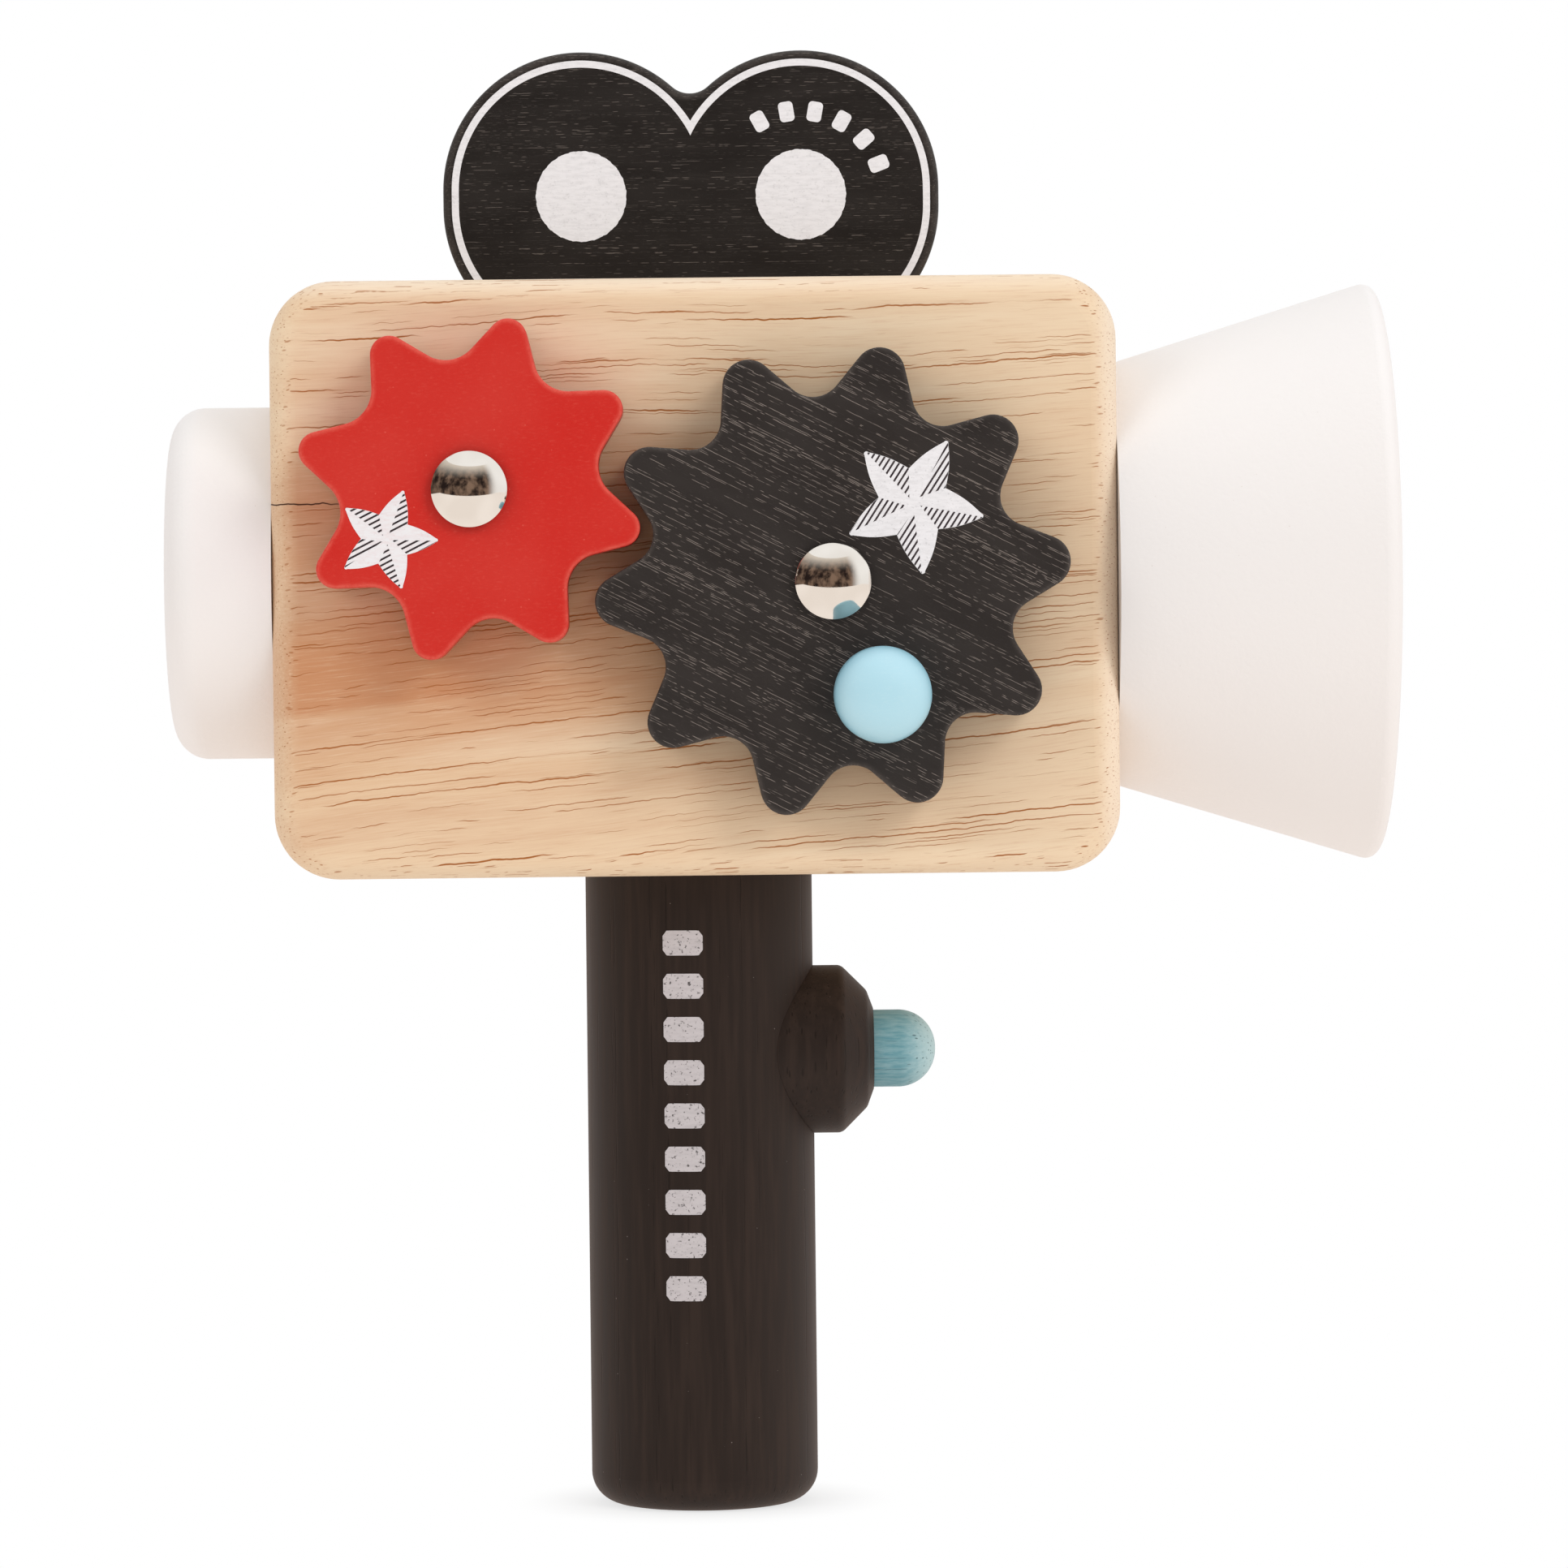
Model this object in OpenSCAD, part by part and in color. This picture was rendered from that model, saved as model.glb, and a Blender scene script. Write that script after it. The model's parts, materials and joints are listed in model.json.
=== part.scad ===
// Toy film camera: a rounded wooden block on a turned grip, with a twin-reel plate on top.
// Two meshing gears turn on the front face, driven by a crank knob. A sprung push button sits in the grip.
// Millimetres, +Z up, +X towards the lens, -Y towards the gears, origin at the centre of the grip's foot.

/* [Body block] */
// Width of the wooden block, from the eyepiece end to the lens end
body_w = 124; // [100:1:160]
// Height of the wooden block
body_h = 87.6; // [76:0.2:110]
// Thickness of the wooden block, from front to back
body_t = 56; // [40:1:60]
// Radius of the block's four corners, seen from the front
body_corner_r = 9.5; // [6:0.5:16]
// Radius of the rounded edges round the front and back faces
body_edge_r = 4; // [1:0.5:6]

/* [View tunnel] */
// Diameter of the tunnel that is looked through
tunnel_d = 20; // [14:0.5:22]
// Diameter of the seats bored into both ends of the block, for the eyepiece and the sleeve
seat_d = 28; // [24:0.5:29]
// Depth of those seats
seat_depth = 8; // [4:0.5:12]

/* [Eyepiece] */
// Outer diameter of the eyepiece
eyepiece_d = 52.6; // [46:0.2:62]
// Length of the eyepiece outside the block
eyepiece_len = 16; // [12:0.5:30]
// Radius of the eyepiece's outer rim
eyepiece_edge_r = 5; // [1:0.25:6]
// Diameter of the eye dish at the eyepiece's face
eye_dish_d = 32; // [26:0.5:38]
// Depth of the eye dish
eye_dish_depth = 4; // [2:0.5:8]

/* [Lens hood] */
// Diameter of the hood where it meets the block
hood_base_d = 62.8; // [56:0.2:72]
// Diameter of the hood's cone where it reaches the plane of the mouth
hood_mouth_d = 87.4; // [78:0.2:98]
// Length of the hood outside the block
hood_len = 40; // [30:0.5:60]
// Thickness of the hood's conical wall
hood_wall = 6; // [4:0.25:8]
// Radius of the rounded edges on either side of the hood's flat rim
hood_edge_r = 1.8; // [1:0.1:1.9]
// Height of the hood's inner floor above the block
hood_floor = 10.5; // [9.5:0.5:14]

/* [Kaleidoscope lens] */
// Diameter of the faceted lens
lens_d = 34; // [32:0.5:38]
// Thickness of the lens at its rim
lens_rim_t = 2.5; // [1.5:0.25:3]
// Thickness of the lens at its crown
lens_crown_t = 4.5; // [3.5:0.25:6]
// Number of slanted facets round the crown
lens_facets = 6; // [4:1:8]
// Width across the flat facet at the crown
lens_crown_w = 11; // [8:0.5:14]
// Width of the ring that holds the lens in its seat
lens_ring_w = 2.5; // [1.5:0.25:4]
// Thickness of that ring
lens_ring_t = 3; // [2:0.25:4]

/* [Reel plate] */
// Radius of each reel shape
reel_r = 20.6; // [18:0.2:24]
// Distance between the two reel centres
reel_spacing = 32.8; // [28:0.2:36]
// Height of the reel centres above the block
reel_rise = 14.3; // [11:0.1:20]
// Length of the straight side between the upper and lower curves of each reel
reel_straight = 2.6; // [0:0.2:6]
// Radius of the fillet in the notch between the reels
reel_notch_r = 4; // [2:0.5:8]
// Thickness of the plate
reel_plate_t = 9; // [8:0.5:14]
// Diameter of the two dowels under the plate
reel_dowel_d = 6; // [4:0.5:7]
// Distance between those dowels
reel_dowel_spacing = 30; // [20:1:40]
// How far each dowel reaches into the plate and into the block
reel_dowel_reach = 10; // [6:0.5:14]

/* [Gears] */
// Gear module: pitch diameter divided by the number of teeth
gear_module = 6.02; // [5.7:0.02:6.4]
// Teeth on the black crank gear
black_teeth = 10; // [9:1:12]
// Teeth on the red gear
red_teeth = 8; // [7:1:10]
// Thickness of both gears
gear_t = 8; // [6:0.5:12]
// Direction from the red gear's pin to the black gear's, seen from the front
mesh_angle = -14.8; // [-25:0.1:0]
// Turn of the crank gear from the place where one of its valleys faces the red gear
crank_turn = 1.6; // [-18:0.1:18]
// How far the red gear leads within the play between the teeth
red_lead = 2; // [-2:0.1:2]
// Black gear's pin, to the lens side of the block's centre
black_pin_x = 19.9; // [16:0.1:22]
// Black gear's pin, below the block's centre
black_pin_drop = 1; // [0:0.1:6]

/* [Gear pins] */
// Diameter of the pins' shanks
pin_d = 5; // [4:0.25:6]
// Depth of the pins in the block
pin_reach = 9; // [7:0.5:9.5]
// Diameter of the domed heads
pin_head_d = 11; // [10:0.2:14]
// Height of the domed heads
pin_head_h = 2.8; // [2:0.1:4]
// Height of the straight rim under each dome
pin_rim_h = 0.4; // [0.2:0.1:1]
// Diameter of the spacing washers behind the gears
back_washer_d = 14; // [11:0.5:18]
// Thickness of the washers behind the gears
back_washer_t = 2; // [1:0.25:4]
// Diameter of the washers under the heads
front_washer_d = 9.8; // [8:0.2:10]
// Thickness of the washers under the heads
front_washer_t = 0.8; // [0.4:0.1:1.5]

/* [Crank knob] */
// Diameter of the knob
knob_d = 14; // [11:0.1:17]
// Height of the knob above the gear
knob_h = 12; // [9:0.5:18]
// Radius of the knob's domed top edge
knob_dome_r = 5; // [3:0.25:5.25]
// Distance of the knob from the gear's centre
knob_throw = 17.8; // [14:0.1:19]
// Diameter of the stem glued into the gear
knob_stem_d = 7; // [5:0.5:9]
// Length of that stem
knob_stem_len = 6; // [4:0.5:6]

/* [Handle] */
// Diameter of the handle
handle_d = 34; // [31:0.5:40]
// Length of the handle below the block
handle_len = 94.9; // [88:0.1:120]
// Radius of the handle's rounded foot
handle_foot_r = 4.75; // [2:0.25:7]
// Diameter of the dowel that joins handle and block
handle_dowel_d = 12; // [8:0.5:12]
// Depth of that dowel in the handle
handle_dowel_low = 17; // [10:0.5:17]
// Depth of that dowel in the block
handle_dowel_high = 22; // [15:0.5:24]

/* [Push button] */
// Distance of the button's axis below the block
button_drop = 27.1; // [27:0.1:38]
// Diameter of the turned housing
housing_d = 25.2; // [23:0.2:27]
// How far the housing stands out of the handle
housing_proud = 9; // [7:0.25:14]
// Chamfer of the housing's front edge, along its axis
housing_chamfer_len = 3.8; // [2:0.1:5]
// Chamfer of the housing's front edge, across its axis
housing_chamfer_w = 3.8; // [2:0.1:4]
// Rise of the housing's slightly coned face inside that chamfer
housing_crown = 1; // [0.4:0.1:2]
// Radius that softens both edges of that chamfer
housing_edge_r = 1.6; // [0.4:0.1:2]
// Diameter of the button
button_d = 11.6; // [9:0.2:12]
// How far the button stands out of its housing
button_proud = 9.3; // [7:0.1:12]
// Diameter of the flat at the tip of the button's dome
button_flat_d = 0.4; // [0.2:0.2:7.6]
// Travel of the button, which sets the depth of the housing's seat
button_travel = 5; // [3:0.25:6]
// Diameter of the flange that keeps the button in
flange_d = 15.5; // [14:0.25:16]
// Thickness of the flange
flange_t = 3; // [2:0.25:3.5]
// Thickness of the housing in front of the flange
housing_front_t = 10; // [8:0.25:10]
// Diameter of the nub that centres the spring on the button
nub_d = 6; // [4:0.25:6.5]
// Length of that nub
nub_len = 3; // [2:0.25:4]
// Outer diameter of the return spring
spring_d = 9; // [8:0.25:9.5]
// Diameter of the spring's wire
spring_wire_d = 0.9; // [0.6:0.1:1]
// Number of turns of the spring
spring_turns = 6; // [4:1:7]
// Depth of the spring's pocket below the housing
spring_pocket = 9.5; // [7:0.25:10]

/* [Clearances] */
// Gap all round a glued joint
glue_gap = 0.1; // [0.05:0.01:0.2]
// Gap all round a turning shank
running_gap = 0.08; // [0.03:0.01:0.1]
// Gap all round the sliding button
sliding_gap = 0.3; // [0.2:0.05:0.5]
// Play of each gear along its pin, at either side
end_play = 0.2; // [0.1:0.05:0.3]

/* [Hidden] */
$fn = 96;
// Overlap that keeps a cut clear of the face it starts from
cut = 1;
// Depth by which a gear's flanks run into the circles of its tips and valleys
flank_bite = 0.03;

// Paint and material colours
rubberwood = [0.87, 0.70, 0.52];
black_stain = [0.15, 0.14, 0.14];
white_paint = [0.94, 0.92, 0.91];
red_paint = [0.82, 0.17, 0.15];
blue_paint = [0.66, 0.85, 0.90];
bare_birch = [0.90, 0.80, 0.64];
steel = [0.78, 0.77, 0.75];
clear_acrylic = [0.85, 0.93, 0.96, 0.4];
dark_fibre = [0.22, 0.20, 0.19];

// Main levels and faces
body_bottom_z = handle_len;
body_mid_z = body_bottom_z + body_h / 2;
body_top_z = body_bottom_z + body_h;
front_y = -body_t / 2;
// Height of the lens's seat above the end of the block
lens_seat = hood_floor - lens_rim_t - lens_ring_t;

// Tooth proportions, in modules
black_addendum = 0.738 * gear_module;
red_addendum = 0.211 * gear_module;
black_tip_round = 0.621 * gear_module;
red_tip_round = 0.461 * gear_module;
black_valley_round = 0.730 * gear_module;
red_valley_round = 0.839 * gear_module;
red_root_gap = 0.124 * gear_module;
black_root_gap = 0.343 * gear_module;

// Gear sizes: each root clears the other gear's tips
black_pitch_r = gear_module * black_teeth / 2;
red_pitch_r = gear_module * red_teeth / 2;
black_tip_r = black_pitch_r + black_addendum;
red_tip_r = red_pitch_r + red_addendum;
black_root_r = black_pitch_r - red_addendum - black_root_gap;
red_root_r = red_pitch_r - black_addendum - red_root_gap;

// Pin places on the front face: the red pin lies one gear spacing from the black one
gear_spacing = black_pitch_r + red_pitch_r;
black_pin = [black_pin_x, body_mid_z - black_pin_drop];
red_pin = black_pin - gear_spacing * [cos(mesh_angle), sin(mesh_angle)];

// Angle of one tooth on each gear: the red gear follows the crank by the ratio of their teeth
black_tooth_angle = mesh_angle + 180 - 180 / black_teeth + crank_turn;
red_tooth_angle = mesh_angle - crank_turn * black_teeth / red_teeth + red_lead;
// The knob lies in line with this tooth, counted round from that one
knob_tooth = 4;
knob_angle = black_tooth_angle + knob_tooth * 360 / black_teeth;

// Stack along the gear pins, measured out from the front face
gear_back = back_washer_t + end_play;
gear_front = gear_back + gear_t;
head_back = gear_front + end_play + front_washer_t;

// Height of the button, then the stack along it, measured from the handle's axis
button_z = handle_len - button_drop;
button_dome_r = (button_d - button_flat_d) / 2;
housing_face_x = handle_d / 2 + housing_proud;
flange_front_x = housing_face_x - housing_front_t - sliding_gap;
flange_back_x = flange_front_x - flange_t;
housing_back_x = flange_back_x - button_travel - sliding_gap;
pocket_floor_x = housing_back_x - spring_pocket;

// Turns local z towards the lens
module along_x() {
    rotate([0, 90, 0]) children();
}

// Turns local z towards the front, with local x and y seen as width and height
module facing_front() {
    rotate([90, 0, 0]) children();
}

// Moves to a pin's place on the front face and turns local z outwards
module at_pin(pin) {
    translate([pin.x, front_y, pin.y]) facing_front() children();
}

// Where a disc touches both lines through a corner, and the disc's centre
function soft_corner(before, corner, after, r) =
    let (
        u = (before - corner) / norm(before - corner),
        v = (after - corner) / norm(after - corner),
        half = acos(u * v) / 2,
        reach = r / tan(half)
    )
    [corner + u * reach, corner + v * reach, corner + (u + v) / norm(u + v) * r / sin(half)];

// Quarter of a disc, for rounding an outer corner
module quarter_disc(r) {
    intersection() {
        circle(r);
        square(r);
    }
}

// Half outline of a rod whose far edge is rounded
module rod_profile(r, len, edge_r) {
    square([r - edge_r, len]);
    square([r, len - edge_r]);
    translate([r - edge_r, len - edge_r]) quarter_disc(edge_r);
}

// Turned rod with a rounded far edge
module rounded_rod(r, len, edge_r) {
    rotate_extrude() rod_profile(r, len, edge_r);
}

// Flat ring
module ring(outer_d, inner_d, t) {
    difference() {
        cylinder(d = outer_d, h = t);
        translate([0, 0, -cut]) cylinder(d = inner_d, h = t + 2 * cut);
    }
}

// Section through the block's edge: a half thickness on either side, both corners rounded
module block_edge_section(reach, t, edge_r) {
    translate([0, -t / 2]) square([reach - edge_r, t]);
    translate([0, edge_r - t / 2]) square([reach, t - 2 * edge_r]);
    translate([reach - edge_r, t / 2 - edge_r]) quarter_disc(edge_r);
    translate([reach - edge_r, edge_r - t / 2]) mirror([0, 1]) quarter_disc(edge_r);
}

// Block lying flat, rounded at its corners and all round both faces
module rounded_block(w, h, t, corner_r, edge_r) {
    inner_w = w - 2 * corner_r;
    inner_h = h - 2 * corner_r;
    cube([inner_w, inner_h, t], center = true);
    for (turn = [0, 180]) rotate(turn) {
        translate([inner_w / 2, inner_h / 2, 0]) rotate([90, 0, 0])
            linear_extrude(inner_h) block_edge_section(corner_r, t, edge_r);
        translate([-inner_w / 2, inner_h / 2, 0]) rotate([90, 0, 90])
            linear_extrude(inner_w) block_edge_section(corner_r, t, edge_r);
        translate([inner_w / 2, inner_h / 2, 0])
            rotate_extrude(angle = 90) block_edge_section(corner_r, t, edge_r);
        translate([-inner_w / 2, inner_h / 2, 0]) rotate(90)
            rotate_extrude(angle = 90) block_edge_section(corner_r, t, edge_r);
    }
}

// Gear outline with a tooth at angle 0: round tips and round valleys joined by straight flanks
module gear_outline(teeth, tip_r, root_r, tip_round, valley_round) {
    half = 180 / teeth;
    tip_centre = [tip_r - tip_round, 0];
    valley_centre = (root_r + valley_round) * [cos(half), sin(half)];
    between = valley_centre - tip_centre;
    flank = atan2(between.y, between.x) - acos((tip_round + valley_round) / norm(between));
    tip_end = tip_centre + (tip_round - flank_bite) * [cos(flank), sin(flank)];
    valley_start = valley_centre - (valley_round - flank_bite) * [cos(flank), sin(flank)];
    tooth = [
        [valley_start.x, -valley_start.y], [tip_end.x, -tip_end.y], tip_end, valley_start
    ];
    difference() {
        union() {
            polygon([for (k = [0:teeth - 1], p = tooth) turned(p, 2 * half * k)]);
            for (k = [0:teeth - 1]) rotate(2 * half * k) translate(tip_centre) circle(tip_round);
        }
        for (k = [0:teeth - 1]) rotate(2 * half * k) translate(valley_centre) circle(valley_round);
    }
}

function turned(p, angle) = [p.x * cos(angle) - p.y * sin(angle), p.x * sin(angle) + p.y * cos(angle)];

// Gear plate with its running bore, standing on local z = 0
module gear_plate(teeth, tip_r, root_r, tip_round, valley_round) {
    difference() {
        linear_extrude(gear_t) gear_outline(teeth, tip_r, root_r, tip_round, valley_round);
        translate([0, 0, -cut]) cylinder(d = pin_d + 2 * running_gap, h = gear_t + 2 * cut);
    }
}

// Wooden block with the view tunnel, the seats at its ends and the pin and dowel holes
module body_block() {
    color(rubberwood) difference() {
        translate([0, 0, body_mid_z]) facing_front()
            rounded_block(body_w, body_h, body_t, body_corner_r, body_edge_r);
        translate([-body_w / 2 - cut, 0, body_mid_z]) along_x()
            cylinder(d = tunnel_d, h = body_w + 2 * cut);
        for (side = [-1, 1])
            translate([side * (body_w / 2 + cut), 0, body_mid_z]) rotate([0, -90 * side, 0])
                cylinder(d = seat_d, h = seat_depth + glue_gap + cut);
        for (pin = [black_pin, red_pin])
            at_pin(pin) translate([0, 0, -pin_reach - glue_gap])
                cylinder(d = pin_d + 2 * glue_gap, h = pin_reach + glue_gap + cut);
        translate([0, 0, body_bottom_z - cut])
            cylinder(d = handle_dowel_d + 2 * glue_gap, h = handle_dowel_high + glue_gap + cut);
        for (side = [-1, 1])
            translate([side * reel_dowel_spacing / 2, 0, body_top_z - reel_dowel_reach - glue_gap])
                cylinder(d = reel_dowel_d + 2 * glue_gap, h = reel_dowel_reach + glue_gap + cut);
    }
}

// Outline of the twin reels above the block's top, seen from the front
module reel_outline() {
    notch_up = sqrt(pow(reel_r + reel_notch_r, 2) - pow(reel_spacing / 2, 2));
    touch = [reel_spacing / 2, 0] + reel_r / (reel_r + reel_notch_r) * [-reel_spacing / 2, notch_up];
    side_reach = reel_spacing / 2 + reel_r;
    difference() {
        union() {
            for (side = [-1, 1], drop = [0, reel_straight])
                translate([side * reel_spacing / 2, -drop]) circle(reel_r);
            polygon([[0, 0], touch, [-touch.x, touch.y]]);
            translate([-side_reach, -reel_straight]) square([2 * side_reach, reel_straight]);
            translate([-reel_spacing / 2, -reel_rise]) square([reel_spacing, reel_rise]);
        }
        translate([0, notch_up]) circle(reel_notch_r);
        translate([-side_reach - cut, -reel_rise - 2 * reel_r])
            square([2 * (side_reach + cut), 2 * reel_r]);
    }
}

// Plate in the shape of two film reels, standing on the block
module reel_plate() {
    color(black_stain) difference() {
        translate([0, reel_plate_t / 2, body_top_z + reel_rise]) facing_front()
            linear_extrude(reel_plate_t) reel_outline();
        for (side = [-1, 1])
            translate([side * reel_dowel_spacing / 2, 0, body_top_z - cut])
                cylinder(d = reel_dowel_d + 2 * glue_gap, h = reel_dowel_reach + glue_gap + cut);
    }
}

// Two dowels that join the reel plate to the block
module reel_dowels() {
    color(bare_birch)
        for (side = [-1, 1])
            translate([side * reel_dowel_spacing / 2, 0, body_top_z - reel_dowel_reach])
                cylinder(d = reel_dowel_d, h = 2 * reel_dowel_reach);
}

// Turned eyepiece with its eye dish, on a spigot in the block's seat
module eyepiece() {
    color(white_paint) translate([-body_w / 2, 0, body_mid_z]) rotate([0, -90, 0]) difference() {
        union() {
            rounded_rod(eyepiece_d / 2, eyepiece_len, eyepiece_edge_r);
            translate([0, 0, -seat_depth]) cylinder(d = seat_d - 2 * glue_gap, h = seat_depth + cut);
        }
        translate([0, 0, -seat_depth - cut])
            cylinder(d = tunnel_d, h = seat_depth + eyepiece_len + 2 * cut);
        translate([0, 0, eyepiece_len - eye_dish_depth])
            cylinder(d1 = tunnel_d, d2 = eye_dish_d, h = eye_dish_depth);
    }
}

// Half section of the hood: conical wall with a rounded rim, and a floor with the seats of sleeve and lens
module hood_profile() {
    slope = atan((hood_mouth_d - hood_base_d) / 2 / hood_len);
    across = hood_edge_r * [cos(slope), -sin(slope)];
    edge_z = hood_len - hood_edge_r;
    wall_x = hood_base_d / 2 + edge_z * tan(slope);
    outer_edge = [wall_x - hood_edge_r / cos(slope), edge_z];
    inner_edge = [wall_x - (hood_wall - hood_edge_r) / cos(slope), edge_z];
    inner_end = inner_edge - across;
    floor_x = inner_end.x - (inner_end.y - hood_floor) * tan(slope);
    lens_seat_x = lens_d / 2 + glue_gap;
    polygon([
        [seat_d / 2, 0], [hood_base_d / 2, 0], outer_edge + across, [outer_edge.x, hood_len],
        [inner_edge.x, hood_len], inner_end, [floor_x, hood_floor], [lens_seat_x, hood_floor],
        [lens_seat_x, lens_seat], [seat_d / 2, lens_seat]
    ]);
    for (edge = [outer_edge, inner_edge]) translate(edge) circle(hood_edge_r);
}

// Turned lens hood, glued to the end of the block round the sleeve
module lens_hood() {
    color(white_paint) translate([body_w / 2, 0, body_mid_z]) along_x() rotate_extrude() hood_profile();
}

// Sleeve that joins the hood to the block and carries the view on to the lens
module lens_sleeve() {
    color(bare_birch) translate([body_w / 2 - seat_depth, 0, body_mid_z]) along_x()
        ring(seat_d - 2 * glue_gap, tunnel_d, seat_depth + lens_seat - glue_gap);
}

// Clear lens whose front is cut into slanted facets round a flat crown
module kaleidoscope_lens() {
    rise = lens_crown_t - lens_rim_t;
    run = lens_d / 2 - lens_crown_w / 2;
    facet_angle = atan(rise / run);
    color(clear_acrylic)
        translate([body_w / 2 + lens_seat, 0, body_mid_z]) along_x()
            difference() {
                cylinder(d = lens_d, h = lens_crown_t);
                for (k = [0:lens_facets - 1]) rotate(k * 360 / lens_facets)
                    translate([lens_crown_w / 2, -lens_d, lens_crown_t]) rotate([0, facet_angle, 0])
                        cube([lens_d, 2 * lens_d, lens_crown_t]);
                difference() {
                    translate([0, 0, lens_rim_t]) cylinder(d = lens_d + 2 * cut, h = lens_crown_t);
                    cylinder(d = lens_d - 2 * lens_ring_w - 2 * glue_gap, h = 3 * lens_crown_t);
                }
            }
}

// Ring that holds the lens in the hood's floor
module lens_ring() {
    color(dark_fibre) translate([body_w / 2 + hood_floor - lens_ring_t, 0, body_mid_z]) along_x()
        ring(lens_d, lens_d - 2 * lens_ring_w, lens_ring_t);
}

// Crank gear with the seat for its knob
module black_gear() {
    color(black_stain) at_pin(black_pin) translate([0, 0, gear_back]) difference() {
        rotate(black_tooth_angle)
            gear_plate(black_teeth, black_tip_r, black_root_r, black_tip_round, black_valley_round);
        rotate(knob_angle) translate([knob_throw, 0, gear_t - knob_stem_len - glue_gap])
            cylinder(d = knob_stem_d + 2 * glue_gap, h = knob_stem_len + glue_gap + cut);
    }
}

// Domed knob on a stem glued into the crank gear
module crank_knob() {
    color(blue_paint) at_pin(black_pin)
        rotate(knob_angle) translate([knob_throw, 0, gear_front]) {
            rounded_rod(knob_d / 2, knob_h, knob_dome_r);
            translate([0, 0, -knob_stem_len]) cylinder(d = knob_stem_d, h = knob_stem_len + cut);
        }
}

// Driven gear
module red_gear() {
    color(red_paint) at_pin(red_pin) translate([0, 0, gear_back]) rotate(red_tooth_angle)
        gear_plate(red_teeth, red_tip_r, red_root_r, red_tip_round, red_valley_round);
}

// Steel pin with a domed head, pressed into the block
module gear_pin(pin) {
    dome_h = pin_head_h - pin_rim_h;
    dome_r = (pow(pin_head_d / 2, 2) + pow(dome_h, 2)) / (2 * dome_h);
    color(steel) at_pin(pin) {
        translate([0, 0, -pin_reach]) cylinder(d = pin_d, h = pin_reach + head_back + pin_rim_h);
        translate([0, 0, head_back]) cylinder(d = pin_head_d, h = pin_rim_h);
        translate([0, 0, head_back + pin_rim_h]) rotate_extrude() intersection() {
            translate([0, dome_h - dome_r]) circle(dome_r);
            square([pin_head_d, dome_h]);
        }
    }
}

// Spacing washer between a gear and the block
module back_washer(pin) {
    color(dark_fibre) at_pin(pin) ring(back_washer_d, pin_d + 2 * running_gap, back_washer_t);
}

// Washer between a gear and its pin's head
module front_washer(pin) {
    color(dark_fibre) at_pin(pin) translate([0, 0, head_back - front_washer_t])
        ring(front_washer_d, pin_d + 2 * running_gap, front_washer_t);
}

// Turned handle with its rounded foot, the seat of the button's housing and the dowel hole
module handle() {
    color(black_stain) difference() {
        translate([0, 0, handle_len]) mirror([0, 0, 1])
            rounded_rod(handle_d / 2, handle_len, handle_foot_r);
        translate([housing_back_x - glue_gap, 0, button_z]) along_x()
            cylinder(d = housing_d + 2 * glue_gap, h = handle_d);
        translate([pocket_floor_x, 0, button_z]) along_x()
            cylinder(d = spring_d + 2 * sliding_gap, h = spring_pocket + cut);
        translate([0, 0, handle_len - handle_dowel_low - glue_gap])
            cylinder(d = handle_dowel_d + 2 * glue_gap, h = handle_dowel_low + glue_gap + cut);
    }
}

// Dowel that joins the handle to the block
module handle_dowel() {
    color(bare_birch) translate([0, 0, handle_len - handle_dowel_low])
        cylinder(d = handle_dowel_d, h = handle_dowel_low + handle_dowel_high);
}

// Turned housing that guides the push button
module button_housing() {
    len = housing_face_x - housing_back_x;
    straight_len = len - housing_crown - housing_chamfer_len;
    face_d = housing_d - 2 * housing_chamfer_w;
    back = [housing_d / 2, 0];
    side = [housing_d / 2, straight_len];
    shoulder = [face_d / 2, len - housing_crown];
    mouth = [button_d / 2 + sliding_gap, len];
    side_round = soft_corner(back, side, shoulder, housing_edge_r);
    shoulder_round = soft_corner(side, shoulder, mouth, housing_edge_r);
    color(black_stain) translate([housing_back_x, 0, button_z]) along_x() difference() {
        rotate_extrude() {
            polygon([
                [0, 0], back, side_round[0], side_round[1], shoulder_round[0], shoulder_round[1],
                mouth, [0, len]
            ]);
            for (corner = [side_round, shoulder_round]) translate(corner[2]) circle(housing_edge_r);
        }
        translate([0, 0, -cut]) cylinder(d = button_d + 2 * sliding_gap, h = len + 2 * cut);
        translate([0, 0, -cut]) cylinder(d = flange_d + 2 * sliding_gap, h = len - housing_front_t + cut);
    }
}

// Button with a domed end, a flange that keeps it in and a nub inside the spring
module push_button() {
    reach = housing_face_x + button_proud - flange_front_x;
    color(blue_paint) translate([flange_front_x, 0, button_z]) along_x() {
        rounded_rod(button_d / 2, reach, button_dome_r);
        translate([0, 0, -flange_t]) cylinder(d = flange_d, h = flange_t);
        translate([0, 0, -flange_t - nub_len]) cylinder(d = nub_d, h = nub_len + flange_t);
    }
}

// Rings of points round a coil's wire, one for each step along its turns
function coil_ring(angle, coil_r, wire_r, z, sides) = [
    for (s = [0:sides - 1])
        let (round = 360 * s / sides, out = coil_r + wire_r * cos(round))
        [out * cos(angle), out * sin(angle), z + wire_r * sin(round)]
];

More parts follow.
